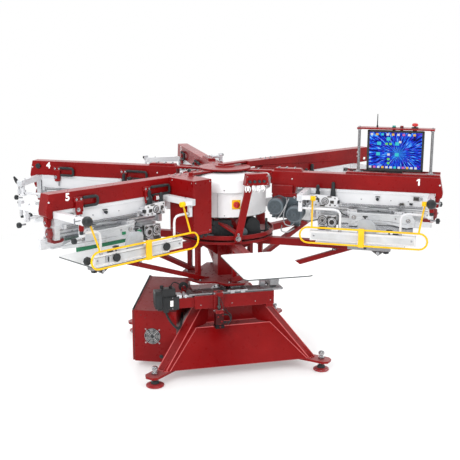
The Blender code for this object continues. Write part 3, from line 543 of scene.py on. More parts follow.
    def screw(self, place, axis, radius, height):
        """A low domed screw head."""
        self.lathe([(0, 0), (radius, 0), (radius * 0.98, height * 0.5),
                    (radius * 0.7, height * 0.92), (0, height)], place, axis, 14)

    def knob(self, place, axis, radius, depth, lobes=8):
        """A scalloped hand knob with a domed face and a hub."""
        axis = Vector(axis).normalized()
        turned = axis.to_track_quat("Z", "Y").to_matrix().to_4x4()
        seg = lobes * 6
        verts, faces = [], []
        # share of the radius, share of the depth
        levels = [(0.42, 0.0), (0.86, 0.02), (1.0, 0.22), (1.0, 0.72), (0.93, 0.92), (0.70, 1.0)]
        for share, height in levels:
            scallop = 0.075 * (1 if share > 0.8 else 0.2)
            for i in range(seg):
                angle = 2 * math.pi * i / seg
                reach = radius * share * (1.0 - scallop * (0.5 - 0.5 * math.cos(lobes * angle)))
                verts.append((reach * math.cos(angle), reach * math.sin(angle), depth * height))
        for j in range(len(levels) - 1):
            for i in range(seg):
                faces.append([j * seg + i, j * seg + (i + 1) % seg,
                              (j + 1) * seg + (i + 1) % seg, (j + 1) * seg + i])
        faces.append(list(range(seg))[::-1])
        faces.append(list(range((len(levels) - 1) * seg, len(levels) * seg)))
        self.add(verts, faces, Matrix.Translation(place) @ turned)
        self.lathe([(0, 0), (radius * 0.34, 0), (radius * 0.32, depth * 0.12), (0, depth * 0.16)],
                   Vector(place) + axis * depth, axis, 16)


def bend(points, radius, steps):
    """The polyline with its corners rounded."""
    points = [Vector(p) for p in points]
    out = [points[0]]
    for before, here, after in zip(points, points[1:], points[2:]):
        start = here + (before - here).normalized() * radius
        end = here + (after - here).normalized() * radius
        for i in range(steps + 1):
            t = i / steps
            out.append(start * (1 - t) ** 2 + here * (2 * t * (1 - t)) + end * t ** 2)
    out.append(points[-1])
    return out


def smooth_curve(points, per):
    """Catmull-Rom through the points."""
    p = [Vector(q) for q in points]
    p = [p[0] * 2 - p[1]] + p + [p[-1] * 2 - p[-2]]
    out = []
    for i in range(1, len(p) - 2):
        for k in range(per):
            t = k / per
            out.append(0.5 * ((2 * p[i]) + (p[i + 1] - p[i - 1]) * t
                              + (2 * p[i - 1] - 5 * p[i] + 4 * p[i + 1] - p[i + 2]) * t * t
                              + (3 * p[i] - p[i - 1] - 3 * p[i + 1] + p[i + 2]) * t ** 3))
    out.append(p[-2])
    return out


def turn(angle):
    return Matrix.Rotation(math.radians(angle), 4, "Z")


def polar(radius, degrees, centre=(0, 0)):
    angle = math.radians(degrees)
    return centre[0] + radius * math.cos(angle), centre[1] + radius * math.sin(angle)


def outside(side, face):
    """A function giving the y that lies a gap outside a face on one side of the arm."""
    return lambda gap: side * (face + gap)


def kits(count, matrix=None):
    return [Kit(matrix) for _ in range(count)]


def soften(obj, width, degrees):
    """Round the sharp edges and keep the flats flat; returns the normal modifier."""
    bevel = obj.modifiers.new("bevel", "BEVEL")
    bevel.width = width
    bevel.segments = 2
    bevel.limit_method = "ANGLE"
    bevel.angle_limit = math.radians(degrees)
    bevel.use_clamp_overlap = True
    flat = obj.modifiers.new("flat_faces", "WEIGHTED_NORMAL")
    flat.weight = 100
    flat.keep_sharp = True
    return flat


def piece(name, kit, material, bevel=0.0, body="machine"):
    """Make an object of a kit, riding on a body; an empty kit makes nothing."""
    if not kit.verts:
        return
    mesh = bpy.data.meshes.new(name)
    mesh.from_pydata([tuple(v) for v in kit.verts], [], kit.faces)
    bm = bmesh.new()
    bm.from_mesh(mesh)
    bmesh.ops.recalc_face_normals(bm, faces=bm.faces)
    bm.to_mesh(mesh)
    bm.free()
    for polygon in mesh.polygons:
        polygon.use_smooth = True
    mesh.set_sharp_from_angle(angle=math.radians(35.0))
    mesh.materials.append(material)
    obj = bpy.data.objects.new(name, mesh)
    scene.collection.objects.link(obj)
    if bevel:
        soften(obj, bevel, 35.0)
    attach(obj, body)


def numeral(name, text, matrix):
    if text == "1":          # a plain bold one with a flag
        kit = Kit(matrix)
        high, wide = NUMERAL_SIZE * 0.36, NUMERAL_SIZE * 0.085
        kit.prism([(-wide, -high), (wide, -high), (wide, high), (-wide * 0.55, high),
                   (-wide * 3.0, high * 0.62), (-wide * 3.0, high * 0.28), (-wide, high * 0.48)],
                  -0.0005, 0.0005, "xy")
        piece(name, kit, PRINT_WHITE)
        return
    curve = bpy.data.curves.new(name, "FONT")
    curve.body = text
    curve.size = NUMERAL_SIZE
    curve.extrude = 0.0005
    curve.offset = NUMERAL_SIZE * 0.035
    curve.resolution_u = 6
    curve.align_x, curve.align_y = "CENTER", "CENTER"
    curve.materials.append(PRINT_WHITE)
    obj = bpy.data.objects.new(name, curve)
    scene.collection.objects.link(obj)
    obj.matrix_world = matrix
    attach(obj, "machine")


# =============================================================== CAD nodes
# Node names (* stands for any ending), material, edge rounding.
NODE_LOOKS = (
    (("base_frame", "control_cabinet", "cabinet_door", "service_tray", "head_hub",
      "valve_pillar", "junction_box", "head_arm*"), RED, 0.0016),
    (("index_beam",), RED_BEAM, 0.0016),
    (("lock_cylinder",), RED_LOCK, 0.0012),
    (("carousel_frame",), RED_FRAME, 0.0016),
    (("monitor_stand",), RED_STAND, 0.001),
    (("head_beam*",), WHITE, 0.0014),
    (("control_drum",), DRUM_WHITE, 0.0012),
    (("print_carriage*",), ALU, 0.0012),
    (("squeegee*",), SQUEEGEE, 0.0008),
    (("flood_bar*", "centre_column", "lift_sleeve", "index_carriage"), STEEL, 0.0008),
    (("lock_pin",), DARK_STEEL, 0.0008),
    (("levelling_foot*",), CHROME, 0.0008),
    (("index_servo",), BLACK, 0.003),
    (("monitor",), BLACK, 0.0015),
    (("safety_hoop*",), YELLOW, 0.0),
    (("stroke_motors",), MOTOR_RED_TOP, 0.001),
    (("pallet*",), BOARD, 0.0008),
    (("start_button",), TEAL, 0.0006),
    (("stop_button",), DARK_RED_CAP, 0.0006),
    (("estop_button",), RED_CAP, 0.0006),
    (("main_switch",), RED_CAP, 0.0015),
)


def dress(obj, material, bevel):
    mesh = obj.data
    mesh.materials.clear()
    mesh.materials.append(material)
    stored = mesh.attributes.get("custom_normal")
    if stored:
        mesh.attributes.remove(stored)
    for polygon in mesh.polygons:
        polygon.material_index = 0
        polygon.use_smooth = True
    weld = obj.modifiers.new("weld", "WELD")
    weld.merge_threshold = 0.00001
    if bevel:
        soften(obj, bevel, 33.0).mode = "FACE_AREA_WITH_ANGLE"


def dress_nodes():
    for node in NODES:
        for patterns, material, bevel in NODE_LOOKS:
            if any(fnmatchcase(node, pattern) for pattern in patterns):
                dress(NODES[node], material, bevel)


# =============================================================== print heads
def arm_fittings(number, red, steel, white, black, rubber, label):
    """Screws on the arm, grip levers on its left side, a rounded post under its tip."""
    tip = 1.561 if number == LONG_ARM else 1.421
    for side in SIDES:
        out = outside(side, ARM_FACE)
        axis = (0, side, 0)
        white.screw((tip, out(0), 1.254), axis, 0.0058, 0.003)
        white.screw((0.472, out(0), 1.253), axis, 0.005, 0.003)
        steel.screw((0.365, out(0), 1.186), axis, 0.006, 0.0035)
        black.across(0.43, 1.188, out(-0.002), out(0.003), 0.011, 18)
    grip_y = 0.056
    # outer and inner end of the lever bracket, inner end of the grip
    for outer, inner, end in ((1.255, 1.195, 1.097), (0.745, 0.69, 0.545)):
        red.box(inner, outer, 0.0398, 0.05, 1.236, 1.263)
        red.box(inner + 0.006, outer - 0.008, 0.042, 0.058, 1.176, 1.24)
        red.box(inner + 0.01, outer - 0.012, 0.042, 0.056, 1.16, 1.18)
        for x in (inner + 0.014, outer - 0.014):
            steel.bolt((x, 0.0498, 1.25), Y, 0.005, 0.005)
        steel.bolt((outer - 0.02, 0.0575, 1.19), Y, 0.0085, 0.008)
        steel.post(inner + 0.02, 0.048, 1.128, 1.165, 0.005, 12)
        grip = [(inner + 0.004, grip_y, 1.258), (end, grip_y, 1.256), (end, grip_y, 1.206),
                (inner - 0.002, grip_y, 1.206)]
        rubber.tube(bend(grip, radius=0.018, steps=6), 0.0084, 12)
        for k in range(9):          # moulded ribs along the grip
            x = inner - 0.012 - k * (inner - end - 0.04) / 9
            rubber.ring((x, grip_y, 1.2575), X, 0.0082, 0.0016, 14, 6)
    red.box(0.632, 0.672, 0.04, 0.07, 1.168, 1.206)
    label.box(0.64, 0.664, 0.0695, 0.0708, 1.176, 1.2)
    if number == LONG_ARM:
        label.box(1.506, 1.528, -0.044, -0.0395, 1.218, 1.236)
        rubber.box(1.508, 1.526, -0.0455, -0.0395, 1.2105, 1.2185)
    red.prism([(1.396, 1.168), (1.424, 1.166), (1.427, 1.128), (1.418, 1.106), (1.402, 1.104),
               (1.396, 1.116)], -0.0165, 0.0165)
    steel.bolt((1.426, 0.0, 1.132), X, 0.006, 0.006)


def beam_fittings(number, silver, steel, white, dark, rubber):
    """Edge strips, long rods, clamps and small fittings on the white beam."""
    for side in SIDES:
        out = outside(side, 0.0345)
        dark.box(0.66, 1.338, out(-0.001), out(0.0022), 1.091, 1.0965)
        white.box(0.655, 1.34, out(-0.002), out(0.0042), 1.0985, 1.104)
        white.box(0.655, 1.34, out(-0.002), out(0.004), 1.178, 1.1835)
        steel.along(side * 0.053, 1.1085, 0.79, 1.336, 0.0035, 10)
        steel.along(side * 0.053, 1.0955, 0.79, 1.336, 0.003, 10)
        for x in (0.8, 1.33):
            silver.box(x - 0.008, x + 0.008, out(0), side * 0.06, 1.09, 1.116)
        if number == 4 and side > 0:
            continue
        rubber.across(1.035, 1.147, out(0), out(0.014), 0.006, 14)
        rubber.across(1.035, 1.147, out(0.012), out(0.022), 0.01, 16)
        rubber.box(1.02, 1.05, out(0), out(0.012), 1.16, 1.164)
        dark.box(1.262, 1.296, out(0), out(0.018), 1.15, 1.172)
        steel.along(out(0.009), 1.161, 1.296, 1.318, 0.0085, 14)
        dark.prism([(1.17, 1.118), (1.206, 1.118), (1.202, 1.13), (1.18, 1.128)],
                   out(0), out(0.024))
        rubber.box(1.238, 1.258, out(0), side * 0.052, 1.12, 1.13)
        for x in (0.7, 0.93, 1.12, 1.23):
            steel.screw((x, out(0.0005), 1.14), (0, side, 0), 0.0042, 0.003)


def drive_end(number, silver, steel, white, dark, rubber):
    """Fixed end of the drive: upper plates with dials, and tapered handles."""
    # x, distance from the arm's middle, z of each handle
    if number == LONG_ARM:
        right = ((0.735, 0.1, 1.134), (0.86, 0.052, 1.15))
    else:
        right = ((0.655, 0.1, 1.134), (0.748, 0.056, 1.15))
    left = ((0.651, 0.1, 1.128), (0.712, 0.06, 1.144))
    for side, handles in ((-1, right), (1, left)):
        y = side * 0.112
        out = outside(side, 0.112 + 0.005)
        axis = (0, side, 0)
        white.prism([(0.634, 1.094), (0.634, 1.166), (0.646, 1.172), (0.784, 1.16),
                     (0.79, 1.148), (0.782, 1.094)], y - 0.005, y + 0.005)
        white.box(0.64, 0.78, side * 0.0345, side * 0.108, 1.118, 1.126)
        silver.box(0.646, 0.676, side * 0.04, side * 0.108, 1.096, 1.12)
        silver.box(0.744, 0.772, side * 0.04, side * 0.108, 1.096, 1.142)
        dark.across(0.707, 1.13, out(-0.002), out(0.003), 0.024, 26)
        silver.across(0.707, 1.13, out(-0.002), out(0.008), 0.019, 26)
        dark.ring((0.707, out(0.0078), 1.13), Y, 0.013, 0.0026, 24, 6)
        steel.bolt((0.707, out(0.0095), 1.13), axis, 0.006, 0.005)
        for x, z in ((0.648, 1.104), (0.772, 1.104), (0.648, 1.158), (0.77, 1.15),
                     (0.74, 1.106)):
            dark.bolt((x, out(0), z), axis, 0.0052, 0.0045, False)
        for x, z, half_x, half_z in ((0.664, 1.134, 0.006, 0.014), (0.752, 1.126, 0.012, 0.01),
                                     (0.69, 1.1, 0.016, 0.005), (0.735, 1.16, 0.014, 0.004)):
            dark.box(x - half_x, x + half_x, out(-0.002), out(0.0045), z - half_z, z + half_z)
        silver.box(0.78, 0.796, side * 0.098, side * 0.116, 1.096, 1.112)
        steel.across(0.672, 1.11, out(-0.002), out(0.016), 0.008, 14)
        rubber.box(0.786, 0.8, side * 0.098, side * 0.12, 1.118, 1.136)
        for x, gap, z in handles:
            silver.post(x, side * gap, z - 0.02, z + 0.004, 0.0065, 12)
            rubber.lathe([(0, 0), (0.0175, 0), (0.019, 0.004), (0.018, 0.014), (0.016, 0.03),
                          (0.0138, 0.052), (0.0108, 0.06), (0.0108, 0.066), (0.0124, 0.07),
                          (0.0122, 0.086), (0.01, 0.094), (0.006, 0.098), (0, 0.099)],
                         (x, side * gap, z), Z, 18)


def crossbar_ends(number, red, silver, black, steel, dark, grey, rubber):
    for side in SIDES:
        out = outside(side, 0.3215)
        end = side * 0.3
        if (number, side) in ((1, -1), (2, -1), (5, 1)):      # ball knob and red cap
            black.ball((1.384, out(0.032), 1.188), 0.03, 24, 16)
            black.across(1.384, 1.188, out(-0.004), out(0.014), 0.012, 16)
            steel.rod((1.384, end, 1.188), (1.432, end, 1.186), 0.004, 10)
            steel.post(1.43, end, 1.17, 1.204, 0.0042, 10)
            red.post(1.386, side * 0.298, 1.128, 1.162, 0.0145, 18)
            rubber.post(1.386, side * 0.298, 1.108, 1.128, 0.012, 16)
        elif number == 4:                                     # tapered latch handle
            black.lathe([(0, 0), (0.012, 0), (0.0135, 0.006), (0.012, 0.022), (0.008, 0.04),
                         (0.006, 0.048), (0, 0.05)], (1.4, end, 1.182), (0.55, 0, 0.83), 18)
            black.rod((1.388, end, 1.166), (1.402, end, 1.186), 0.01, 14)
            steel.post(1.396, side * 0.292, 1.092, 1.162, 0.005, 12)
            silver.box(1.386, 1.404, side * 0.286, side * 0.302, 1.104, 1.134)
        else:                                            # two-piece stop, small black cap
            silver.box(1.372, 1.394, end, side * 0.334, 1.176, 1.214)
            silver.post(1.384, side * 0.318, 1.12, 1.162, 0.009, 14)
            rubber.across(1.384, 1.2, side * 0.334, side * 0.342, 0.01, 14)
            rubber.post(1.386, side * 0.306, 1.112, 1.124, 0.0105, 14)
        steel.along(side * 0.282, 1.074, 1.38, 1.416, 0.006, 12)
        rubber.knob((1.414, side * 0.282, 1.074), X, 0.0175, 0.022, 7)
        silver.box(1.352, 1.3625, side * 0.274, side * 0.289, 1.09, 1.13)
        for x, tube_end in ((0.575, 0.312), (1.375, 0.322)):
            steel.bolt((x, side * 0.2895, 1.15), (0, side, 0), 0.005, 0.005)
            steel.bolt((x, side * 0.24, 1.1985), Z, 0.005, 0.004)
            # plug in the open tube end
            plug = grey if x > 1 or number in (1, 5) else dark
            plug.box(x - 0.015, x + 0.015, side * (tube_end - 0.004),
                     side * (tube_end + 0.0012), 1.1635, 1.1955)


def screen_channels(number, silver, steel, white, dark, grey, rubber, pads):
    """Screen side channels with their clamps, locators and, on the left, hand knobs."""
    for side in SIDES:
        out = outside(side, 0.284)
        axis = (0, side, 0)
        white.box(0.642, 1.298, out(-0.001), out(0.003), 0.956, 0.9675)
        white.box(0.642, 1.298, out(-0.001), out(0.0035), 0.9055, 0.9125)
        grey.box(0.65, 1.29, out(-0.001), out(0.0012), 0.916, 0.952)
        silver.box(0.72, 1.24, side * 0.236, side * 0.257, 0.9035, 0.912)
        if side > 0:
            dark.box(0.642, 1.298, out(-0.001), out(0.0012), 0.9528, 0.9552)
            for x in (1.15, 0.776):
                steel.across(x, 0.936, out(0), out(0.01), 0.0075, 14)
                rubber.knob((x, out(0.004), 0.936), axis, 0.025, 0.017, 8)
            steel.box(1.196, 1.222, out(0), out(0.0045), 0.918, 0.958)
            rubber.box(1.2, 1.206, out(0.003), out(0.007), 0.92, 0.95)
            steel.along(side * 0.27, 0.944, 1.29, 1.345, 0.0065, 12)
            rubber.knob((1.336, side * 0.262, 0.944), axis, 0.0245, 0.02, 8)
        # moulded locator on the channel
        pads.prism([(0.94, 0.9685), (0.939, 1.028), (0.946, 1.044), (0.964, 1.056),
                    (0.996, 1.06), (1.022, 1.054), (1.04, 1.038), (1.054, 1.012),
                    (1.058, 0.9685)], side * 0.252, side * 0.279)
        pads.prism([(0.95, 0.972), (1.05, 0.972), (1.04, 1.008), (0.954, 1.014)],
                   side * 0.2785, side * 0.2815)
        rubber.lathe([(0, 0), (0.005, 0), (0.005, 0.008), (0.012, 0.012), (0.012, 0.018),
                      (0, 0.022)], (0.984, side * 0.265, 1.057), Z, 14)
        rubber.box(0.968, 1.0, side * 0.26, side * 0.27, 1.07, 1.077)
        # toggle with a pointed silver plate and a black wing
        silver.prism([(1.06, 0.976), (1.08, 0.988), (1.116, 0.99), (1.124, 0.982),
                      (1.116, 0.972), (1.078, 0.97)], side * 0.262, side * 0.28)
        rubber.lathe([(0, 0), (0.005, 0), (0.005, 0.018), (0.014, 0.024), (0.014, 0.03),
                      (0, 0.034)], (1.136, side * 0.27, 0.968), Z, 14)
        rubber.box(1.118, 1.156, side * 0.265, side * 0.275, 0.99, 0.998)
        rubber.box(1.158, 1.194, side * 0.262, side * 0.276, 0.9685, 0.976)
        for x in (0.665, 1.275):
            steel.bolt((x, out(0), 0.936), axis, 0.005, 0.005)
        # sockets where the bent tubes land
        for x in ((0.703, 1.25) if number == 5 else (0.83, 1.204)):
            steel.post(x, side * 0.281, 0.9685, 0.978, 0.0115, 16)
        for x, way, z in ((0.575, 1, 1.11), (1.375, -1, 1.107)):
            steel.along(side * 0.281, z, x + way * 0.01, x + way * 0.018, 0.011, 16)


def head_numerals(number, matrix):
    """The head's number on both sides of the arm."""
    reach = 1.44 if number == LONG_ARM else 1.295
    for side, word, x in ((-1, "right", reach - 0.004), (1, "left", reach)):
        basis = Matrix(((-side, 0, 0, x), (0, 0, side, side * 0.0404), (0, 1, 0, 1.2685),
                        (0, 0, 0, 1)))
        numeral(f"head{number}_numeral_{word}", str(number), matrix @ basis)


def carriage_plates(silver, steel, dark, rubber):
    """Side plates of the print carriage with their dials, and the barrels between them."""
    for side in SIDES:
        y = side * 0.096
        out = outside(side, 0.096 + 0.004)
        axis = (0, side, 0)
        silver.prism([(0.66, 0.93), (0.66, 1.03), (0.676, 1.036), (0.78, 1.036),
                      (0.784, 0.985), (0.748, 0.928)], y - 0.004, y + 0.004)
        dark.across(0.69, 1.0, out(-0.002), out(0.003), 0.032, 28)
        silver.across(0.69, 1.0, out(-0.002), out(0.006), 0.027, 28)
        dark.ring((0.69, out(0.0055), 1.0), Y, 0.019, 0.003, 26, 6)
        dark.bolt((0.69, out(0.0055), 1.0), axis, 0.0085, 0.004)
        dark.across(0.752, 0.99, out(-0.002), out(0.002), 0.035, 28)
        silver.across(0.752, 0.99, out(-0.002), out(0.006), 0.03, 28)
        dark.across(0.752, 0.99, out(0.005), out(0.008), 0.0165, 20)
        steel.ring((0.752, out(0.006), 0.99), Y, 0.024, 0.0018, 26, 6)
        dark.box(0.672, 0.712, out(-0.002), out(0.007), 0.936, 0.96)
        steel.box(0.716, 0.744, out(-0.002), out(0.009), 0.932, 0.95)
        for x, z in ((0.667, 1.028), (0.774, 1.028), (0.667, 0.972), (0.728, 1.028)):
            dark.bolt((x, out(0), z), axis, 0.0036, 0.004, False)
        dark.box(0.668, 0.778, side * 0.07, side * 0.0925, 0.938, 1.03)
        for x, z, half in ((0.67, 0.944, 0.01), (0.7, 0.943, 0.012), (0.772, 1.02, 0.009),
                           (0.735, 1.022, 0.011)):
            dark.box(x - half, x + half, out(-0.002), out(0.0055), z - 0.006, z + 0.006)
        for x, z in ((0.664, 0.986), (0.72, 1.026), (0.72, 0.958), (0.776, 0.96), (0.7, 0.968)):
            steel.bolt((x, out(0), z), axis, 0.0048, 0.005, False)
        rubber.hose([(0.7, out(0.003), 0.944), (0.716, out(0.008), 0.956),
                     (0.726, out(0.008), 0.975), (0.722, out(0.003), 1.022)],
                    0.0022, per=5, seg=6)
    for x, z, radius in ((0.69, 1.0, 0.02), (0.752, 0.99, 0.023), (0.708, 0.95, 0.012)):
        steel.across(x, z, -0.092, 0.092, radius, 20)
        for y in (-0.07, -0.035, 0.035, 0.07):
            dark.ring((x, y, z), Y, radius, 0.0018, 22, 6)
    silver.box(0.664, 0.78, -0.06, 0.06, 1.02, 1.0415)


def slide_bar(steel, rubber, red, cover):
    """The long bar of the carriage: cover, guide rods, cylinders, hoses, end casting."""
    cover.box(0.99, 1.104, -0.042, 0.042, 1.0765, 1.084)
    cover.box(1.0, 1.094, -0.035, 0.035, 1.0835, 1.0865)
    for side in SIDES:
        axis = (0, side, 0)
        steel.along(side * 0.0215, 1.059, 0.64, 1.355, 0.0048, 12)
        for x in (0.93, 1.04, 1.13, 1.26):
            steel.bolt((x, side * 0.0195, 1.066), axis, 0.0042, 0.004, False)
        for middle in (0.88, 1.18):      # air cylinders over the guide rods
            for x in (middle - 0.02, middle + 0.02):
                for z in (1.07, 1.044):
                    steel.bolt((x, side * 0.0848, z), axis, 0.0038, 0.0036, False)
            rubber.post(middle, side * 0.06, 1.078, 1.08, 0.0105, 16)
        rubber.hose([(0.79, side * 0.03, 1.05), (0.84, side * 0.05, 1.03),
                     (0.92, side * 0.034, 1.026), (1.04, side * 0.04, 1.022),
                     (1.14, side * 0.032, 1.03), (1.165, side * 0.04, 1.04)], 0.003)
    red.prism([(1.3915, 1.036), (1.404, 1.034), (1.413, 1.042), (1.415, 1.066), (1.411, 1.088),
               (1.4, 1.098), (1.3915, 1.098)], -0.02, 0.02)
    red.along(0.0, 1.066, 1.39, 1.413, 0.029, 24)
    red.prism([(1.318, 1.0295), (1.392, 1.0295), (1.404, 1.038), (1.402, 1.014), (1.38, 1.006),
               (1.33, 1.008), (1.316, 1.018)], -0.022, 0.022)
    steel.bolt((1.411, 0.0, 1.066), X, 0.008, 0.008)


# Side plate outlines (x, z): the lower edge outwards, then the upper edge back in.
FLOOD_LOW = [(0.858, 0.974), (0.9, 0.972), (0.94, 0.98), (1.0, 0.998), (1.06, 1.004),
             (1.12, 0.998), (1.18, 0.984), (1.23, 0.976), (1.274, 0.984)]
FLOOD_HIGH = [(1.28, 1.03), (1.262, 1.06), (0.866, 1.062)]
SQUEEGEE_LOW = [(0.858, 0.976), (1.0, 0.978), (1.18, 0.978), (1.3, 0.982), (1.376, 0.988),
                (1.387, 0.994), (1.384, 1.003)]
SQUEEGEE_HIGH = [(1.29, 1.034), (1.2, 1.052), (0.866, 1.062)]


def blade_plates(number, matrix):
    """Flood bar side plate on the right and squeegee side plate on the left."""
    for kind, side, low, high, slot in (
            ("flood_bar", -1, FLOOD_LOW, FLOOD_HIGH, "bright_steel"),
            ("squeegee", 1, SQUEEGEE_LOW, SQUEEGEE_HIGH, "aluminium")):
        plate, bosses, pads = kits(3, matrix)
        out = outside(side, 0.0945)
        plate.prism(low + high, side * 0.088, out(0))
        # raised bead half way between the lower edge and the bolts
        bosses.tube([(x, out(0), 0.5 * (z + 1.02) + 0.004) for x, z in low[1:-1]], 0.0018, 8)
        plate.box(0.862, 1.262, side * 0.087, side * 0.0975, 1.05, 1.0585)
        for x, z in ((0.894, 1.03), (1.239, 1.024)):
            bosses.across(x, z, out(-0.001), out(0.006), 0.015, 22)
            bosses.across(x, z, out(0.004), out(0.0085), 0.007, 14)
            # ties the plate to the holder behind it
            bosses.across(x, 1.012, side * 0.073, side * 0.0885, 0.007, 14)
        for x in (0.96, 1.16):
            bosses.bolt((x, out(0), 1.034), (0, side, 0), 0.0046, 0.0045)
        if side < 0:
            plate.box(0.8, 1.386, -0.0775, -0.0745, 0.986, 1.02)
        else:
            pads.box(0.93, 0.956, 0.0955, 0.1, 1.004, 1.022)
            pads.box(0.8, 0.824, 0.0735, 0.086, 0.99, 1.01)
        body, name = f"{kind}_{number}", f"head{number}_{kind}"
        piece(f"{name}_plate", plate, ALU_PLATE, 0.0009, body)
        piece(f"{name}_bosses", bosses, STEEL, 0.0003, body)
        piece(f"{name}_pads", pads, GREEN, 0.001, body)


def add_head(number, angle):
    matrix = turn(angle)
    tag = f"head{number}"
    red, silver, black, white, steel, dark, grey, rubber, label, pads = kits(10, matrix)
    arm_fittings(number, red, steel, white, black, rubber, label)
    beam_fittings(number, silver, steel, white, dark, rubber)
    drive_end(number, silver, steel, white, dark, rubber)
    crossbar_ends(number, red, silver, black, steel, dark, grey, rubber)
    screen_channels(number, silver, steel, white, dark, grey, rubber, pads)
    piece(f"{tag}_red_brackets", red, RED, 0.0012)
    piece(f"{tag}_machined_plates", silver, ALU, 0.0008)
    piece(f"{tag}_steel_fittings", steel, STEEL, 0.0003)
    piece(f"{tag}_white_strips", white, WHITE, 0.0005)
    piece(f"{tag}_dark_fittings", dark, DARK_STEEL, 0.0003)
    piece(f"{tag}_black_knobs", black, BLACK)
    piece(f"{tag}_rubber_grips", rubber, RUBBER, 0.0003)
    piece(f"{tag}_grey_mouldings", grey, LIGHT_GREY, 0.002)
    piece(f"{tag}_locator_pads", pads, PAD_GREY, 0.003)
    piece(f"{tag}_label", label, PRINT_WHITE, 0.0003)
    head_numerals(number, matrix)

    silver, steel, dark, rubber, red, cover = kits(6, matrix)
    carriage_plates(silver, steel, dark, rubber)
    slide_bar(steel, rubber, red, cover)
    body = f"print_carriage_{number}"
    piece(f"{tag}_carriage_plates", silver, ALU, 0.0008, body)
    piece(f"{tag}_carriage_steel", steel, STEEL, 0.0003, body)
    piece(f"{tag}_carriage_dark", dark, DARK_STEEL, 0.0003, body)
    piece(f"{tag}_carriage_hoses", rubber, RUBBER, 0.0, body)
    piece(f"{tag}_carriage_casting", red, DEEP_RED, 0.003, body)
    piece(f"{tag}_carriage_cover", cover, LIGHT_GREY, 0.002, body)
    blade_plates(number, matrix)


def add_star_knob():
    """Clamps the cable tray on the fourth arm."""
    kit = Kit(turn(HEADS[4]))
    kit.knob((1.372, ARM_FACE, 1.264), Y, 0.019, 0.018, 5)
    piece("head4_star_knob", kit, RUBBER)


# Half section of the hoop strap: distance from the hoop's plane, z.
STRAP = ((-0.0078, 0.885), (0.0078, 0.885), (0.0086, 0.893), (0.0066, 0.944), (0.0086, 0.995),
         (0.0078, 1.003), (-0.0078, 1.003), (-0.0086, 0.995), (-0.0066, 0.944), (-0.0086, 0.893))


def add_hoops():
    """Yellow end caps and orange strap of the two safety hoops."""
    half = 0.018
    for number, side, middle in ((1, -1, 0.968), (5, 1, 0.925)):
        caps, strap = kits(2, turn(HEADS[number]))
        y = side * 0.31
        for x, way in ((0.668, 1), (1.3345, -1)):
            caps.lathe([(0, 0), (0.015, 0), (0.0165, 0.002), (0.0165, 0.006), (0.012, 0.009),
                        (0, 0.01)], (x - way * 0.001, y, 1.18), (way, 0, 0), 22)
        strap.prism([(y + gap, z) for gap, z in STRAP], middle - half, middle + half, "yz")
        piece(f"hoop{number}_caps", caps, YELLOW, 0.0006, f"safety_hoop_{number}")
        piece(f"hoop{number}_strap", strap, ORANGE, 0.001, f"safety_hoop_{number}")


# =============================================================== hub, drum, pillar, tray
def add_arm_roots():
    """Bolts and stiffening flanges where each arm meets the hub plate."""
    for number, angle in HEADS.items():
        bolts, flanges = kits(2, turn(angle))
        if number != LONG_ARM:
            for y in (-0.024, 0.024):
                bolts.bolt((0.23, y, 1.2996), Z, 0.0065, 0.006)
        for x in (0.375, 0.425, 0.48):
            top = {LONG_ARM: 1.3308 - 0.0132 * (x - 0.196), 5: 1.2998}.get(number, 1.3178)
            for y in (-0.008 if number in (1, 3, 4) else -0.022, 0.022):
                bolts.bolt((x, y, top), Z, 0.006, 0.005)
        piece(f"arm{number}_root_bolts", bolts, STEEL, 0.0003)
        if number != LONG_ARM:
            for y in (-0.046, 0.046):
                flanges.prism([(0.335, 1.288), (0.18, 1.2995), (0.18, 1.304), (0.336, 1.306)],
                              y - 0.003, y + 0.003)
        piece(f"arm{number}_root_flanges", flanges, RED, 0.0006)


def add_hub_duct():
    """Cable duct crossing the hub into the long arm."""
    kit = Kit(turn(HEADS[LONG_ARM]))
    kit.prism([(-0.04, 1.3225), (0.19, 1.3225), (0.19, 1.33), (0.182, 1.3335),
               (-0.034, 1.3335), (-0.04, 1.329)], -0.026, 0.026)
    piece("hub_duct", kit, RED, 0.0012)


def add_junction_box():
    """Breather, ball on a stem, screws and cable glands of the junction box."""
    red, steel, black = kits(3, turn(HEADS[5]))
    red.lathe([(0, 0), (0.02, 0), (0.02, 0.004), (0.015, 0.006), (0.015, 0.024), (0.013, 0.028),
               (0, 0.029)], (0.41, 0.11, 1.2995), Z, 22)
    black.ball((0.352, 0.03, 1.322), 0.012, 18, 12)
    steel.post(0.352, 0.03, 1.299, 1.314, 0.0045, 12)
    for z in (1.285, 0.975):
        for x in (0.392, 0.512):
            steel.screw((x, 0.2655 - 0.0008, z), Y, 0.0042, 0.0026)
    for y in (0.06, 0.245):
        for z in (0.975, 1.285):
            steel.screw((0.5276, y, z), X, 0.0042, 0.0026)
    red.box(0.384, 0.52, 0.2642, 0.2664, 0.962, 0.97)
    for x, y in ((0.4, 0.235), (0.44, 0.238), (0.48, 0.235), (0.44, 0.18)):
        black.lathe([(0, 0), (0.0135, 0), (0.0135, 0.012), (0.0105, 0.014), (0.0095, 0.026),
                     (0, 0.028)], (x, y, 0.9535), MINUS_Z, 16)
    piece("junction_breather", red, RED, 0.0006)
    piece("junction_screws", steel, STEEL)
    piece("junction_glands", black, RUBBER, 0.0005)


def add_sensor_bracket():
    kit = Kit(turn(HEADS[3]))
    kit.box(0.3, 0.33, -0.06, -0.04, 1.3, 1.352)
    kit.box(0.292, 0.35, -0.064, -0.036, 1.3, 1.306)
    kit.across(0.315, 1.336, -0.04, 0.01, 0.009, 16)
    piece("hub_sensor_bracket", kit, ALU, 0.0008)


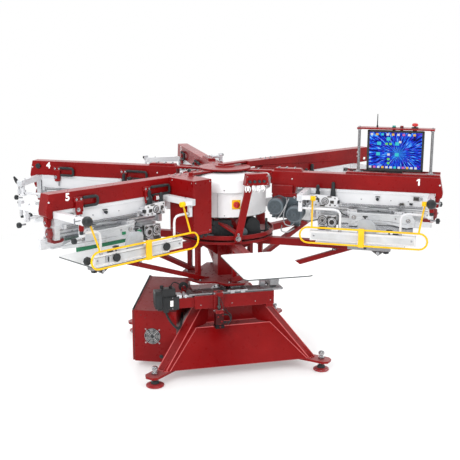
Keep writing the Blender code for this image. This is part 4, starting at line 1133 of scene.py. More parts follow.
def add_drum_details():
    """Yellow plate behind the main switch; drum screws, dark seam rings and panel joints. The ring
    under the lid is a painted shadow from the lid's lip.
    """
    plate, screws, dark_seam_rings, joints = kits(4)
    plate.prism([(-0.024, 1.073), (-0.021, 1.07), (0.029, 1.07), (0.032, 1.073),
                 (0.032, 1.127), (0.029, 1.13), (-0.021, 1.13), (-0.024, 1.127)],
                -0.2846, -0.276)
    for x in (-0.019, 0.027):
        for z in (1.075, 1.125):
            screws.screw((x, -0.2846, z), MINUS_Y, 0.0026, 0.0016)
    for i in range(12):
        angle = 15 + 30 * i
        axis = (*polar(1.0, angle), 0)
        screws.screw((*polar(0.3095, angle), 1.2), axis, 0.005, 0.003)
        screws.screw((*polar(0.2792, angle), 1.026), axis, 0.0042, 0.0026)
    # Dark ring painted as the shadow under the lid's overhanging lip.
    dark_seam_rings.ring((0, 0, 1.1785), Z, 0.2812, 0.0036, 72, 6)
    dark_seam_rings.ring((0, 0, 1.0135), Z, 0.2785, 0.0022, 72, 6)
    for angle in (246.0, 284.0, 20.0, 140.0):
        joints.box(-0.0012, 0.0012, 0.2788, 0.2808, 1.016, 1.174, turn(angle - 90.0))
    piece("switch_plate", plate, YELLOW, 0.0006)
    piece("drum_screws", screws, STEEL)
    piece("drum_dark_seam_rings", dark_seam_rings, DARK_STEEL)
    piece("drum_panel_joints", joints, SILVER_GREY)


def add_pillar_details():
    """Pressure fittings and filter bowls on the valve pillar."""
    valves, collets, bowls, bolts = kits(4)
    for i, x in enumerate((0.066, 0.098, 0.13, 0.161)):
        valves.across(x, 1.264, -0.377, -0.392, 0.0095, 18)
        collets.across(x, 1.264, -0.3915, -0.395, 0.0055, 14)
        left = x - 0.006
        odd = i % 2
        bowls.lathe([(0, 0), (0.0045, 0), (0.008, 0.005), (0.0088, 0.012), (0.0088, 0.03),
                     (0.007, 0.036), (0, 0.037)],
                    (left, -0.364 - 0.006 * odd, 1.2 + 0.006 * odd), Z, 18)
        bowls.hose([(left, -0.364, 1.236), (left + 0.01, -0.372, 1.226),
                    (left + 0.014, -0.37, 1.206), (left + 0.008, -0.356, 1.19)], 0.0034, per=6)
    bowls.hose([(0.046, -0.369, 1.236), (0.04, -0.376, 1.214), (0.046, -0.372, 1.196)],
               0.004, per=6)
    bolts.bolt((-0.002, -0.3602, 0.888), MINUS_Y, 0.0125, 0.01)
    bolts.bolt((0.0, -0.36, 0.917), MINUS_Y, 0.006, 0.005)
    for x, z in ((0.052, 1.296), (0.182, 1.296), (0.052, 1.248), (0.186, 1.248)):
        bolts.screw((x, -0.378, z), MINUS_Y, 0.0036, 0.0024)
    piece("valve_bodies", valves, RUBBER, 0.0003)
    piece("valve_collets", collets, COLLET)
    piece("filter_bowls", bowls, CLEAR_WHITE)
    piece("pillar_bolts", bolts, CHROME, 0.0003)


def add_tray_contents():
    """Valve island, blower, small round units, gussets and cable runs on the tray."""
    black, grey, red, bolts = kits(4)
    black.box(-0.15, -0.01, -0.262, -0.185, 0.882, 0.958)
    black.box(-0.14, -0.02, -0.256, -0.19, 0.956, 0.992)
    for i in range(6):
        black.box(-0.142 + 0.022 * i, -0.126 + 0.022 * i, -0.265, -0.26, 0.892, 0.95)
    black.prism([(0.08, 0.884), (0.078, 0.948), (0.098, 0.99), (0.12, 1.004), (0.15, 0.996),
                 (0.176, 0.95), (0.184, 0.9), (0.184, 0.884)], -0.25, -0.15)
    black.across(0.13, 0.945, -0.252, -0.146, 0.05, 28)
    grey.across(0.052, 0.914, -0.294, -0.262, 0.0285, 26)
    grey.across(0.052, 0.914, -0.3, -0.292, 0.011, 18)
    grey.ring((0.052, -0.2945, 0.914), Y, 0.02, 0.0018, 24, 6)
    grey.rod((-0.19, -0.25, 0.896), (-0.15, -0.282, 0.896), 0.013, 16)
    grey.rod((-0.215, -0.215, 0.893), (-0.235, -0.19, 0.893), 0.011, 16)
    black.post(0.232, -0.214, 0.876, 0.985, 0.008, 14)
    black.post(0.232, -0.214, 0.88, 0.9, 0.015, 16)
    red.prism([(-0.052, 0.962), (0.03, 0.905), (0.03, 0.96), (-0.02, 1.004), (-0.052, 1.004)],
              -0.205, -0.19)
    red.box(0.19, 0.246, -0.14, -0.1, 0.93, 1.006)
    black.hose([(0.184, -0.2, 0.9), (0.215, -0.225, 0.905), (0.262, -0.175, 0.912),
                (0.285, -0.08, 0.906), (0.29, 0.04, 0.9), (0.23, 0.18, 0.9),
                (0.08, 0.28, 0.898), (-0.12, 0.26, 0.9), (-0.26, 0.12, 0.898)],
               0.0055, per=10)
    black.hose([(0.12, -0.15, 0.99), (0.14, -0.08, 1.006), (0.11, 0.02, 1.008)], 0.01, seg=10)
    black.hose([(-0.08, -0.19, 0.99), (-0.11, -0.12, 1.004), (-0.09, 0.0, 1.01)], 0.01, seg=10)
    black.hose([(-0.15, -0.23, 0.9), (-0.2, -0.24, 0.898), (-0.262, -0.17, 0.9),
                (-0.3, -0.06, 0.898)], 0.0065)
    for i in range(8):
        bolts.bolt((*polar(0.3, 22.5 + 45 * i), 0.88), Z, 0.0065, 0.006)
    piece("tray_black_units", black, RUBBER, 0.0015)
    piece("tray_grey_units", grey, MOTOR, 0.0008)
    piece("tray_red_gussets", red, RED, 0.001)
    piece("tray_bolts", bolts, STEEL, 0.0003)


# =============================================================== stroke motors
def motor(x, z, cowls, fins, dark, bolts):
    """One motor lying across the arm, its cowl on the right."""
    cowls.lathe([(0, -0.041), (0.051, -0.041), (0.0545, -0.04), (0.0545, -0.014),
                 (0.053, -0.008), (0.046, -0.002), (0.018, -0.002), (0.016, 0), (0, 0)],
                (x, -0.213, z), MINUS_Y, 36)
    # Dark rings and spokes on the cowl face: painted shade standing in for the shaded slots of the
    # cowl.
    for radius in (0.012, 0.021, 0.03, 0.039):
        dark.ring((x, -0.2113, z), Y, radius, 0.0024, 34, 6)
    for i in range(8):
        spoke = []
        for radius in (0.013, 0.043):
            spoke_x, spoke_z = polar(radius, 45 * i + 10, (x, z))
            spoke.append((spoke_x, -0.2112, spoke_z))
        dark.tube(spoke, 0.0012, 6)
    dark.bolt((x, -0.2125, z), MINUS_Y, 0.005, 0.003)
    fin_count = 26
    for i in range(fin_count):
        turned = Matrix.Rotation(math.radians(360.0 / fin_count * i), 4, "Y")
        fins.block([(reach, y, side * half) for side in SIDES
                    for reach, y, half in ((0.047, -0.172, 0.001), (0.056, -0.172, 0.0007),
                                           (0.056, -0.088, 0.0007), (0.047, -0.088, 0.001))],
                   Matrix.Translation((x, 0, z)) @ turned)
    dark.box(x - 0.03, x + 0.03, -0.168, -0.098, z - 0.078, z - 0.07)
    dark.across(x, z - 0.056, -0.166, -0.182, 0.0085, 16)
    cowls.lathe([(0, 0), (0.0535, 0), (0.0545, 0.003), (0.0545, 0.014), (0.05, 0.018),
                 (0, 0.018)], (x, -0.088, z), Y, 32)
    for i in range(4):
        bolt_x, bolt_z = polar(0.047, 45 + 90 * i, (x, z))
        bolts.bolt((bolt_x, -0.089, bolt_z), MINUS_Y, 0.004, 0.004, False)


def add_stroke_motors():
    cowls, fins, dark, cables, bolts, red = kits(6, turn(STAND_ANGLE))
    for x, z in ((0.396, 1.092), (0.52, 1.047)):
        motor(x, z, cowls, fins, dark, bolts)
    cables.hose([(0.396, -0.18, 1.034), (0.405, -0.2, 1.016), (0.43, -0.206, 1.04),
                 (0.458, -0.206, 1.09), (0.47, -0.19, 1.125), (0.45, -0.12, 1.142)],
                0.0032, per=10)
    cables.hose([(0.52, -0.182, 0.99), (0.5, -0.206, 0.974), (0.462, -0.208, 0.985),
                 (0.452, -0.206, 1.04), (0.466, -0.2, 1.1), (0.474, -0.15, 1.138)],
                0.0032, per=10)
    cables.hose([(0.43, -0.15, 0.96), (0.44, -0.2, 0.935), (0.48, -0.205, 0.93),
                 (0.52, -0.18, 0.95)], 0.0034, per=10)
    red.box(0.35, 0.508, -0.0735, -0.0405, 1.1485, 1.159)
    red.box(0.344, 0.5, -0.0745, -0.0415, 1.138, 1.148)
    red.prism([(0.352, 1.14), (0.372, 1.14), (0.372, 1.06), (0.362, 1.04), (0.352, 1.05)],
              -0.079, -0.0725)
    bolts.bolt((0.362, -0.0795, 1.124), MINUS_Y, 0.0055, 0.005)
    bolts.bolt((0.496, -0.074, 1.136), MINUS_Y, 0.0055, 0.005)
    piece("motor_cowls", cowls, MOTOR, 0.0008)
    piece("motor_fins", fins, MOTOR)
    piece("motor_grilles", dark, MOTOR_DARK)
    piece("motor_cables", cables, SILVER_GREY)
    piece("motor_bolts", bolts, STEEL)
    piece("motor_mount_flange", red, RED, 0.0012)


# =============================================================== operator display
SCREEN_FRONT = 0.01      # y of the screen's face
STAND_Y = 0.035          # y of the posts and of the fittings on the top bar
TOP_BAR = 1.6022         # upper face of the stand's top bar

# Tile colours; the tables below pick them by position.
TILES = (("pale_tile", (236, 240, 250)), ("cyan_tile", (70, 220, 230)),
         ("gold_tile", (250, 200, 90)), ("rose_tile", (230, 120, 190)),
         ("green_tile", (120, 226, 120)))
BOTTOM_ROW = (0, 3, 0, 2, 0, 0, 1, 0, 3, 2, 0, 0)
TOP_ROW = (0, 2, 1, 0, 2, 0, 3, 0, 2)
# x and z from the middle of the burst of tiles, colour
BURST = ((0.052, 0.046, 1), (-0.062, 0.046, 1), (-0.004, 0.076, 1), (0.0, -0.054, 4),
         (0.052, -0.024, 1), (-0.066, -0.022, 1), (-0.014, 0.044, 4), (0.01, 0.044, 4),
         (0.0, -0.024, 0), (0.07, 0.058, 0), (0.0, -0.08, 4))


def add_display():
    matrix = turn(STAND_ANGLE)
    panel, bezel = kits(2, matrix)
    panel.box(0.964, 1.294, SCREEN_FRONT - 0.0012, SCREEN_FRONT + 0.001, 1.342, 1.574)
    material = display_glow(centre=matrix @ Vector((1.15, SCREEN_FRONT, 1.45)),
                            right=matrix.to_3x3() @ Vector(X))
    piece("display_panel", panel, material)
    for x0, x1, z0, z1 in ((0.95, 0.9645, 1.326, 1.586), (1.2935, 1.308, 1.326, 1.586),
                           (0.95, 1.308, 1.5735, 1.586), (0.95, 1.308, 1.326, 1.3425)):
        bezel.box(x0, x1, SCREEN_FRONT - 0.003, SCREEN_FRONT + 0.001, z0, z1)
    for i in range(14):      # ribs on the rear
        bezel.box(1.01 + 0.017 * i, 1.02 + 0.017 * i, 0.0515, 0.054, 1.5, 1.545)
    bezel.box(1.09, 1.168, 0.05, 0.076, 1.42, 1.49)
    bezel.box(1.1, 1.158, 0.074, 0.079, 1.32, 1.5)
    piece("display_bezel", bezel, BLACK, 0.001)


def add_display_tiles():
    tiles = [(0.974 + 0.0262 * i, 1.349, tone, 1.0) for i, tone in enumerate(BOTTOM_ROW)]
    tiles += [(0.978 + 0.0335 * i, 1.56, tone, 1.0) for i, tone in enumerate(TOP_ROW)]
    tiles += [(1.088 + x, 1.456 + z, tone, 1.5 if tone == 1 else 1.0) for x, z, tone in BURST]
    for index, (name, color) in enumerate(TILES):
        kit = Kit(turn(STAND_ANGLE))
        for x, z, tone, size in tiles:
            if tone == index:
                kit.box(x - 0.0082 * size, x + 0.0082 * size, SCREEN_FRONT - 0.0019,
                        SCREEN_FRONT - 0.001, z - 0.007 * size, z + 0.007 * size)
        piece(f"display_{name}", kit, tile_glow(name, color))


def add_display_stand():
    collars, black, plate = kits(3, turn(STAND_ANGLE))
    for x in (0.895, 1.357):
        collars.lathe([(0, 0), (0.02, 0), (0.02, 0.004), (0.0145, 0.006), (0.0125, 0.014),
                       (0, 0.015)], (x, STAND_Y, 1.3092), Z, 24)
        collars.lathe([(0, 0), (0.0125, 0), (0.0135, 0.002), (0.0135, 0.008), (0, 0.009)],
                      (x, STAND_Y, 1.583), Z, 20)
        collars.bolt((x, STAND_Y, TOP_BAR), Z, 0.0065, 0.005)
        for offset in (-0.026, 0.026):
            collars.bolt((x + offset, STAND_Y, 1.3092), Z, 0.0045, 0.004)
    black.lathe([(0, 0), (0.006, 0), (0.006, 0.01), (0.0035, 0.014), (0.003, 0.04),
                 (0.0024, 0.084), (0, 0.0855)], (1.008, STAND_Y, TOP_BAR), Z, 12)
    black.lathe([(0, 0), (0.0225, 0), (0.0225, 0.004), (0.018, 0.007), (0.007, 0.0075),
                 (0, 0.0075)], (1.245, STAND_Y, TOP_BAR), Z, 26)
    for x in (1.114, 1.163):
        black.lathe([(0, 0), (0.0132, 0), (0.0132, 0.0025), (0.0118, 0.0035), (0, 0.0036)],
                    (x, STAND_Y, TOP_BAR), Z, 22)
        black.post(x, STAND_Y, 1.591, 1.574, 0.01, 16)
    black.post(1.245, STAND_Y, 1.591, 1.57, 0.013, 16)
    black.hose([(1.245, STAND_Y, 1.572), (1.235, 0.06, 1.556), (1.19, 0.072, 1.53),
                (1.15, 0.07, 1.48)], 0.0035)
    black.hose([(1.13, 0.078, 1.44), (1.13, 0.082, 1.36), (1.12, 0.074, 1.322),
                (1.06, 0.066, 1.314), (0.94, 0.068, 1.313), (0.835, 0.072, 1.3135)], 0.0042)
    piece("stand_collars", collars, SILVER_GREY)
    piece("stand_black_fittings", black, RUBBER)
    plate.box(0.825, 1.415, -0.0125, -0.009, 1.3088, 1.3125)
    plate.box(1.08, 1.18, -0.01, 0.07, 1.3092, 1.3125)
    for x in (0.84, 1.0, 1.24, 1.4):
        plate.screw((x, 0.002, 1.309), Z, 0.0052, 0.003)
    piece("stand_plate_edge", plate, RED, 0.0008)


# =============================================================== index drive
def index_rail(steel, aluminium):
    for i in range(9):
        for y in (-0.31, -0.262):
            steel.screw((-0.3 + 0.0745 * i, y, 0.532), Z, 0.0048, 0.003)
    for x in (-0.25, -0.04, 0.12, 0.225):
        steel.screw((x, -0.3498, 0.456), MINUS_Y, 0.004, 0.003)
    aluminium.box(0.19, 0.3, -0.23, -0.19, 0.52, 0.552)
    aluminium.box(0.24, 0.326, -0.238, -0.196, 0.548, 0.5545)
    aluminium.box(-0.36, -0.3, -0.32, -0.26, 0.506, 0.52)
    aluminium.box(-0.352, -0.34, -0.33, -0.252, 0.506, 0.528)


def index_motor(steel, black, white, aluminium):
    """Fins, flange bolts, connectors, blank label and cables of the index motor."""
    for i in range(9):
        black.box(-0.53 + 0.0115 * i, -0.525 + 0.0115 * i, -0.3355, -0.2485, 0.432, 0.52)
    black.post(-0.498, -0.294, 0.572, 0.59, 0.0125, 16)
    black.post(-0.44, -0.294, 0.572, 0.584, 0.011, 16)
    black.box(-0.548, -0.505, -0.34, -0.258, 0.464, 0.542)
    for y in (-0.333, -0.251):
        for z in (0.44, 0.512):
            steel.bolt((-0.424 - 0.006, y, z), MINUS_X, 0.0045, 0.005, False)
    white.box(-0.45, -0.418, -0.3362, -0.334, 0.456, 0.496)
    aluminium.box(-0.405, -0.372, -0.33, -0.27, 0.506, 0.53)
    # corrugated cable from the motor to the cabinet
    path = smooth_curve([(-0.472, -0.299, 0.412), (-0.466, -0.306, 0.385),
                         (-0.448, -0.322, 0.35), (-0.424, -0.33, 0.32),
                         (-0.402, -0.33, 0.302), (-0.384, -0.312, 0.301),
                         (-0.366, -0.276, 0.32), (-0.352, -0.212, 0.326)], 12)
    black.tube(path, 0.0062, 10)
    for i in range(2, len(path) - 1, 2):
        black.ring(path[i], path[i + 1] - path[i - 1], 0.0066, 0.0018, 12, 6)
    black.hose([(-0.44, -0.294, 0.582), (-0.41, -0.27, 0.6), (-0.36, -0.25, 0.57),
                (-0.33, -0.246, 0.536)], 0.0035)


def index_wheel(steel, black, red):
    """Wheel beside the beam and a cable guide."""
    black.across(-0.336, 0.545, -0.208, -0.184, 0.027, 28)
    black.ring((-0.336, -0.196, 0.545), Y, 0.027, 0.0045, 30, 8)
    steel.across(-0.336, 0.545, -0.214, -0.178, 0.013, 18)
    red.prism([(-0.352, 0.5), (-0.32, 0.5), (-0.32, 0.545), (-0.328, 0.556), (-0.344, 0.556),
               (-0.352, 0.545)], -0.221, -0.215)
    black.across(-0.262, 0.494, -0.205, -0.185, 0.022, 24)
    red.prism([(-0.372, 0.44), (-0.25, 0.44), (-0.25, 0.49), (-0.3, 0.53), (-0.345, 0.53)],
              -0.229, -0.212)


def lock_fittings(steel, black, red):
    """Barrel ends, hoses and bolts of the lock cylinder."""
    x, y = -0.135, -0.376
    port_y = -0.386
    for z in (0.33, 0.403):
        red.lathe([(0, 0), (0.027, 0), (0.028, 0.0015), (0.028, 0.004), (0, 0.0042)],
                  (x, y, z), Z, 22)
    for bolt_x in (-0.16, -0.11):
        for z in (0.415, 0.534):
            steel.bolt((bolt_x, -0.3625, z), MINUS_Y, 0.0052, 0.005)
    black.along(port_y, 0.338, x + 0.026, x + 0.046, 0.007, 14)
    black.along(port_y, 0.392, x + 0.026, x + 0.044, 0.007, 14)
    black.hose([(x + 0.044, port_y, 0.338), (x + 0.074, -0.392, 0.346),
                (x + 0.078, -0.39, 0.384), (x + 0.06, -0.372, 0.402),
                (x + 0.052, -0.345, 0.416)], 0.0036)
    black.hose([(x + 0.042, port_y, 0.392), (x + 0.064, -0.396, 0.386),
                (x + 0.072, -0.398, 0.356), (x + 0.052, -0.4, 0.326)], 0.0036)
    black.hose([(x - 0.02, -0.404, 0.53), (x + 0.006, -0.41, 0.5), (x + 0.018, -0.408, 0.462),
                (x + 0.03, -0.404, 0.42)], 0.0024)
    for offset, z in ((0.012, 0.352), (-0.012, 0.384), (0.02, 0.392), (0.002, 0.316)):
        red.ball((x + offset, -0.405, z), 0.006, 14, 8)


def add_index_drive():
    steel, black, red, white, aluminium, carriage = kits(6)
    index_rail(steel, aluminium)
    index_motor(steel, black, white, aluminium)
    index_wheel(steel, black, red)
    lock_fittings(steel, black, red)
    piece("index_rail_screws", steel, STEEL)
    piece("index_black_units", black, RUBBER, 0.0006)
    piece("index_red_brackets", red, RED, 0.001)
    piece("index_blank_labels", white, PRINT_WHITE, 0.0003)
    piece("index_aluminium_ends", aluminium, ALU, 0.001)
    for x in (-0.055, 0.055):
        for y in (-0.332, -0.244):
            carriage.bolt((x, y, 0.5424), Z, 0.0046, 0.004, False)
    carriage.box(-0.026, 0.026, -0.302, -0.2995, 0.543, 0.5505)
    piece("index_carriage_bolts", carriage, DARK_STEEL, 0.0, "index_carriage")


# =============================================================== cabinet
# The cabinet's own frame: x along its front, y into it.
CABINET = (Matrix.Translation((-0.68, -0.18, 0))
           @ Matrix.Rotation(math.radians(-24.0), 4, "Z"))
FAN_X, FAN_Z = 0.138, 0.23


def fan_place(radius, degrees, y):
    x, z = polar(radius, degrees, (FAN_X, FAN_Z))
    return x, y, z


def add_cabinet_fan(guard, black, blades):
    for radius in (0.018, 0.03, 0.041, 0.0515):
        guard.ring((FAN_X, -0.005, FAN_Z), Y, radius, 0.001, 44, 6)
    for i in range(4):
        angle = 45 + 90 * i
        guard.tube([fan_place(0.01, angle, -0.0062), fan_place(0.062, angle, -0.004),
                    fan_place(0.067, angle, -0.001)], 0.0011, 6)
        guard.bolt(fan_place(0.066, angle, -0.0006), MINUS_Y, 0.0034, 0.003)
    black.across(FAN_X, FAN_Z, -0.0035, 0.001, 0.015, 24)
    black.across(FAN_X, FAN_Z, -0.0006, 0.002, 0.053, 44)
    black.ring((FAN_X, -0.001, FAN_Z), Y, 0.0535, 0.0016, 48, 6)
    blade_count = 7
    for i in range(blade_count):       # twisted blades behind the guard
        turned = Matrix.Rotation(math.radians(360.0 / blade_count * i), 4, "Y")
        blades.block([(0.012, -0.0024, -0.004), (0.049, -0.0024, -0.013),
                      (0.05, -0.0008, 0.008), (0.014, -0.0008, 0.006),
                      (0.012, -0.0014, -0.004), (0.049, -0.0014, -0.013),
                      (0.05, 0.0004, 0.008), (0.014, 0.0004, 0.006)],
                     Matrix.Translation((FAN_X, -0.0015, FAN_Z)) @ turned)


def add_cabinet():
    guard, black, blades, seal, folds, trim, latch = kits(7, CABINET)
    add_cabinet_fan(guard, black, blades)
    black.lathe([(0, 0), (0.013, 0), (0.0135, 0.002), (0.012, 0.005), (0.005, 0.006),
                 (0, 0.006)], (0.196, 0.0005, 0.09), MINUS_Y, 22)
    for x, z in ((0.062, 0.372), (0.09, 0.356)):
        black.screw((x, 0.0, z), MINUS_Y, 0.003, 0.002)
    # oval cable entry on the side next to the base
    black.prism([(0.165 + 0.034 * math.cos(i / 20 * 2 * math.pi),
                  0.318 + 0.036 * math.sin(i / 20 * 2 * math.pi)) for i in range(20)],
                0.2985, 0.303, "yz")
    # rubber seal between the case and the door, then the strips over its sloping top
    seal.box(0.0126, 0.015, 0.006, 0.454, 0.056, 0.066)
    seal.prism([(0.006, 0.392), (0.454, 0.494), (0.454, 0.504), (0.006, 0.402)],
               0.0126, 0.015, "yz")
    seal.box(0.0126, 0.015, 0.006, 0.014, 0.056, 0.396)
    seal.box(0.0126, 0.015, 0.446, 0.454, 0.056, 0.5)
    seal.prism([(0.001, 0.4062), (0.459, 0.511), (0.459, 0.5146), (0.001, 0.4098)],
               0.0125, 0.0148, "yz")
    seal.prism([(0.0, 0.4075), (0.46, 0.5125), (0.46, 0.5165), (0.0, 0.4115)],
               0.004, 0.0125, "yz")
    seal.box(0.0126, 0.015, -0.0012, 0.003, 0.058, 0.404)
    piece("cabinet_fan_guard", guard, SILVER_GREY)
    piece("cabinet_fan_well", black, RUBBER)
    piece("cabinet_fan_blades", blades, ROD_GREY)
    piece("cabinet_door_seal", seal, RUBBER)
    for x0, x1 in ((0.015, 0.024), (0.291, 0.3)):
        folds.prism([(0.0, 0.4052), (0.46, 0.5102), (0.46, 0.5132), (0.0, 0.4082)],
                    x0, x1, "yz")
    piece("cabinet_top_folds", folds, RED, 0.0008)
    for z in (0.11, 0.27, 0.43):      # hinges
        trim.post(-0.004, 0.459, z - 0.024, z + 0.024, 0.006, 14)
    latch.lathe([(0, 0), (0.015, 0), (0.015, 0.004), (0.011, 0.006), (0.011, 0.012),
                 (0, 0.013)], (0.0002, 0.04, 0.24), MINUS_X, 22)
    latch.box(-0.016, -0.012, 0.038, 0.042, 0.229, 0.251)
    for i in range(7):                # louvres
        trim.box(-0.0016, 0.0004, 0.14, 0.32, 0.3 + 0.012 * i, 0.306 + 0.012 * i)
    piece("cabinet_door_trim", trim, RED, 0.0008, "cabinet_door")
    piece("cabinet_door_latch", latch, CHROME, 0.0006, "cabinet_door")


# =============================================================== base
BASE_TOP = 0.0795        # height of the weld beads around each foot plate


def bead(kit, start, end):
    """A straight weld bead in steps of about 6 mm."""
    start, end = Vector(start), Vector(end)
    count = int((end - start).length / 0.006)
    kit.tube([start.lerp(end, i / count) for i in range(count + 1)], 0.0028, 7)


def add_weld_beads():
    kit = Kit()
    bead(kit, (-0.487, -0.502, 0.08), (-0.272, -0.3015, 0.283))
    bead(kit, (0.438, -0.502, 0.08), (0.24, -0.3015, 0.283))
    bead(kit, (-0.275, -0.2995, 0.2845), (0.24, -0.2995, 0.2845))
    for angle, toe in LEGS:
        matrix = turn(angle)
        for y in (-0.0365, 0.0365):
            bead(kit, matrix @ Vector((0.61, y, BASE_TOP)),
                 matrix @ Vector((toe - 0.074, y, BASE_TOP)))
        bead(kit, matrix @ Vector((toe - 0.069, -0.036, BASE_TOP)),
             matrix @ Vector((toe - 0.069, 0.036, BASE_TOP)))
    corners = ((-0.196, -0.196, 0.2812), (0.196, -0.196, 0.2812), (0.196, 0.196, 0.2812),
               (-0.196, 0.196, 0.2812))
    for start, end in zip(corners, corners[1:]):
        bead(kit, start, end)
    # The pale pink beads are a painted highlight along the edges of the base.
    piece("base_weld_beads", kit, WELD)


def add_leg_lips():
    """Raised strips along the sloping edges of the leg webs, pale pink as a painted highlight."""
    kit = Kit()
    half = Vector((0, 0.0026, 0))
    for angle, toe in LEGS:
        matrix = turn(angle)
        for y in (-0.0335, 0.0335):
            top, bottom = Vector((0.305, y, 0.4215)), Vector((toe - 0.078, y, 0.083))
            slope = (bottom - top).normalized()
            normal = Vector((-slope.z, 0, slope.x))
            kit.block([matrix @ (end + half * i + normal * 0.0032 * j)
                       for end in (top, bottom)
                       for i, j in ((-1, -0.5), (1, -0.5), (1, 1), (-1, 1))])
    piece("base_leg_lips", kit, WELD, 0.0008)


def add_feet():
    for i, (angle, toe) in enumerate(LEGS, 1):
        x, y = polar(toe, angle)
        pad, neck, stud = kits(3)
        radius = 0.058 if i == 1 else 0.053
        pad.lathe([(0, 0.0006), (radius - 0.006, 0.0006), (radius, 0.005), (radius, 0.011),
                   (radius - 0.01, 0.016), (0.028, 0.019), (0, 0.0192)], (x, y, 0), Z, 30)
        neck.lathe([(0, 0), (0.0255, 0), (0.0275, 0.003), (0.025, 0.012), (0.0165, 0.02),
                    (0.015, 0.028), (0, 0.0285)], (x, y, 0.0188), Z, 26)
        stud.lathe([(0, 0), (0.0205, 0), (0.0225, 0.002), (0.0225, 0.0125), (0.0205, 0.0145),
                    (0, 0.0146)], (x, y, 0.0785), Z, 6)
        for z in (0.0945, 0.0975, 0.1005, 0.1035):      # thread
            stud.ring((x, y, z), Z, 0.0118, 0.0011, 20, 6)
        stud.ball((x, y, 0.1225), 0.02, 22, 12, squash=0.62)
        piece(f"foot{i}_pad", pad, FOOT_RED)
        piece(f"foot{i}_neck", neck, RUBBER)
        piece(f"foot{i}_stud", stud, CHROME, 0.0006)


# =============================================================== carousel
def pallet_rim(kit):
    """Thin dark rim round the edge of the board, just under its top face."""
    x0, x1, half, radius = 0.656, 1.226, 0.2, 0.03
    points = []
    # corner centre, start of the corner's arc in half turns
    for x, y, start in ((x1 - radius, half - radius, 0.0), (x0 + radius, half - radius, 0.5),
                        (x0 + radius, -half + radius, 1.0), (x1 - radius, -half + radius, 1.5)):
        for i in range(7):
            angle = math.pi * (start + 0.5 * i / 6)
            points.append((x + (radius - 0.0003) * math.cos(angle),
                           y + (radius - 0.0003) * math.sin(angle), 0.8625))
    kit.tube(points, 0.0012, 6, True)


def add_pallet_arm(number, angle):
    bolts, brackets, knobs, welds, rim = kits(5, turn(angle))
    # bracket with a V under the arm end
    brackets.prism([(1.004, 0.7965), (1.094, 0.7965), (1.066, 0.776), (1.05, 0.764),
                    (1.034, 0.776)], -0.021, 0.021)
    bolts.across(1.049, 0.783, -0.024, 0.024, 0.0065, 14)
    bolts.bolt((1.049, 0.0235, 0.783), Y, 0.0075, 0.006)
    bolts.bolt((1.049, -0.0235, 0.783), MINUS_Y, 0.0075, 0.006)
    # truss joint
    brackets.box(0.748, 0.772, -0.0215, 0.0215, 0.782, 0.7985)
    bolts.across(0.76, 0.79, -0.026, 0.026, 0.005, 12)
    # pallet clamp under the board: knob and lever
    knobs.knob((1.1, 0.0, 0.796), MINUS_Z, 0.02, 0.018, 6)
    bolts.across(0.968, 0.822, -0.025, -0.056, 0.0055, 12)
    knobs.ball((0.968, -0.06, 0.822), 0.01, 16, 10)
    for x in (0.7, 0.9, 1.06, 1.12):
        for side in SIDES:
            bolts.bolt((x, side * 0.025, 0.828), (0, side, 0), 0.0048, 0.004, False)
    # star plate bolts and raised pads
    for x, y in ((0.262, 0.034), (0.262, -0.034), (0.205, 0.0)):
        bolts.bolt((x, y, 0.5682), Z, 0.0075, 0.007)
    welds.box(0.232, 0.274, -0.02, 0.02, 0.568, 0.5745)
    welds.box(0.232, 0.274, -0.02, 0.02, 0.7905, 0.7972)
    welds.box(0.17, 0.216, -0.0245, 0.0245, 0.568, 0.576)
    pallet_rim(rim)
    tag = f"pallet_arm{number}"
    piece(f"{tag}_bolts", bolts, STEEL, 0.0, "carousel")
    piece(f"{tag}_v_bracket", brackets, DARK_STEEL, 0.0008, "carousel")
    piece(f"{tag}_hand_knob", knobs, RUBBER, 0.0, "carousel")
    piece(f"{tag}_weld_pads", welds, RED, 0.001, "carousel")
    piece(f"pallet{number}_rim", rim, RUBBER, 0.0, "carousel")


def add_lift_sleeve_bolts():
    kit = Kit()
    for i in range(6):
        kit.bolt((*polar(0.074, 30 + 60 * i), 0.4602), Z, 0.005, 0.005, False)
    piece("lift_sleeve_bolts", kit, DARK_STEEL, 0.0, "lift_sleeve")


# =============================================================== floor, light, camera
def add_floor():
    """A pale disc that glows more with distance, so that it fades into the backdrop."""
    mesh = bpy.data.meshes.new("floor")
    count, radius, level = 64, 40.0, -0.0006
    verts = [(radius * math.cos(2 * math.pi * i / count),
              radius * math.sin(2 * math.pi * i / count), level) for i in range(count)]
    mesh.from_pydata(verts, [], [list(range(count))])
    obj = bpy.data.objects.new("floor", mesh)
    scene.collection.objects.link(obj)
    mat = Paint("pale_floor")
    mat.set(color=mat.mix(mat.noise(scale=0.8), lin(250, 250, 250), lin(254, 254, 254)),
            rough=0.9, spec=0.1)
    x, y, _ = mat.xyz()
    glow = mat.node("ShaderNodeEmission", {"Color": (1, 1, 1, 1), "Strength": 1.0})
    fade = mat.remap(mat.hypot(x, y), span=(1.2, 4.2), to=(0.30, 1.0), smooth=True)
    mixer = mat.node("ShaderNodeMixShader",
                     {0: fade, 1: mat.bsdf.outputs[0], 2: glow.outputs[0]})
    mat.plug(mat.tree.nodes["Material Output"].inputs["Surface"], mixer.outputs[0])
    mesh.materials.append(mat.material)


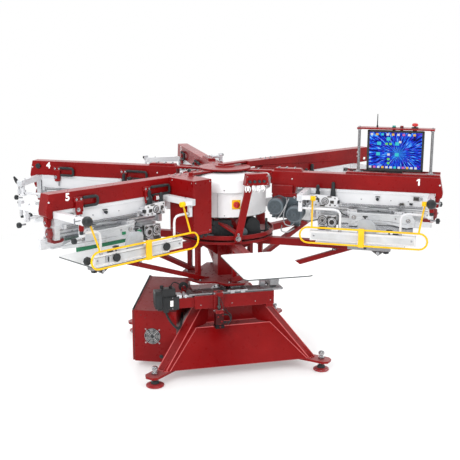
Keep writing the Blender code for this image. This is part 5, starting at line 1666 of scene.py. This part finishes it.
def add_world():
    """Plain white to the camera; for lighting, brighter towards +Y and upwards."""
    world = bpy.data.worlds.new("studio")
    scene.world = world
    world.use_nodes = True
    world.node_tree.nodes.clear()
    sky = Nodes(world.node_tree)
    path = sky.node("ShaderNodeLightPath")
    seen = sky.node("ShaderNodeBackground", {"Color": (1, 1, 1, 1), "Strength": 1.0})
    coord = sky.node("ShaderNodeTexCoord")
    ray = sky.node("ShaderNodeSeparateXYZ", {0: coord.outputs["Generated"]})
    back = sky.remap(ray.outputs[1], span=(-0.5, 0.6), to=(0.34, 0.95))
    upward = sky.remap(ray.outputs[2], span=(0.0, 0.9), to=(0.0, 0.70))
    lit = sky.node("ShaderNodeBackground", {"Color": (0.985, 0.992, 1.0, 1),
                                            "Strength": sky.math("ADD", back, upward)})
    mixer = sky.node("ShaderNodeMixShader", {0: path.outputs["Is Camera Ray"],
                                             1: lit.outputs[0], 2: seen.outputs[0]})
    sky.node("ShaderNodeOutputWorld", {"Surface": mixer.outputs[0]})


def add_light(name, place, target, size, power, glossy=False):
    """A rectangular light of size metres and power watts; glossy ones show in reflections."""
    light = bpy.data.lights.new(name, "AREA")
    light.shape = "RECTANGLE"
    light.size, light.size_y = size
    light.energy = power
    obj = bpy.data.objects.new(name, light)
    obj.location = place
    obj.rotation_euler = (Vector(target) - Vector(place)).to_track_quat("-Z", "Y").to_euler()
    obj.visible_glossy = glossy
    scene.collection.objects.link(obj)


def add_lights():
    add_light("key", place=(-4.2, -5.0, 4.6), target=(0, 0, 0.8), size=(3.5, 3.0), power=260)
    add_light("fill", place=(4.8, -4.0, 3.0), target=(0, 0, 0.9), size=(3.0, 3.0), power=120)
    add_light("front_low", place=(-0.8, -6.0, 1.0), target=(0, 0, 0.6), size=(4.0, 1.2),
              power=36)
    add_light("back", place=(1.5, 5.5, 3.6), target=(0, 0, 0.9), size=(5.0, 2.5), power=150)
    add_light("strip", place=(-3.0, -4.5, 2.6), target=(0, 0, 1.0), size=(0.5, 3.0), power=40,
              glossy=True)


def add_camera():
    place = (-1.417, -5.511, 2.150)
    heading = math.radians(75.2175)     # anticlockwise from +X
    pitch = math.radians(12.6855)       # downwards
    roll = math.radians(0.178)
    forward = Vector((math.cos(heading) * math.cos(pitch),
                      math.sin(heading) * math.cos(pitch), -math.sin(pitch)))
    level = Vector((math.sin(heading), -math.cos(heading), 0))
    above = level.cross(forward)
    right = math.cos(roll) * level + math.sin(roll) * above
    up = -math.sin(roll) * level + math.cos(roll) * above
    camera = bpy.data.cameras.new("camera")
    obj = bpy.data.objects.new("camera", camera)
    scene.collection.objects.link(obj)
    rows = [(right[i], up[i], -forward[i], place[i]) for i in range(3)]
    obj.matrix_world = Matrix((*rows, (0, 0, 0, 1)))
    camera.sensor_width = 36.0          # mm
    camera.lens = 66.2767826            # mm
    camera.clip_end = 200.0
    scene.camera = obj
    scene.view_settings.view_transform = "Standard"
    scene.view_settings.look = "None"


dress_nodes()
for head, head_angle in HEADS.items():
    add_head(head, head_angle)
add_star_knob()
add_hoops()
add_arm_roots()
add_hub_duct()
add_junction_box()
add_sensor_bracket()
add_drum_details()
add_pillar_details()
add_tray_contents()
add_stroke_motors()
add_display()
add_display_tiles()
add_display_stand()
add_index_drive()
add_cabinet()
add_weld_beads()
add_leg_lips()
add_feet()
for pallet, pallet_angle in PALLETS.items():
    add_pallet_arm(pallet, pallet_angle)
add_lift_sleeve_bolts()
add_floor()
add_world()
add_lights()
add_camera()
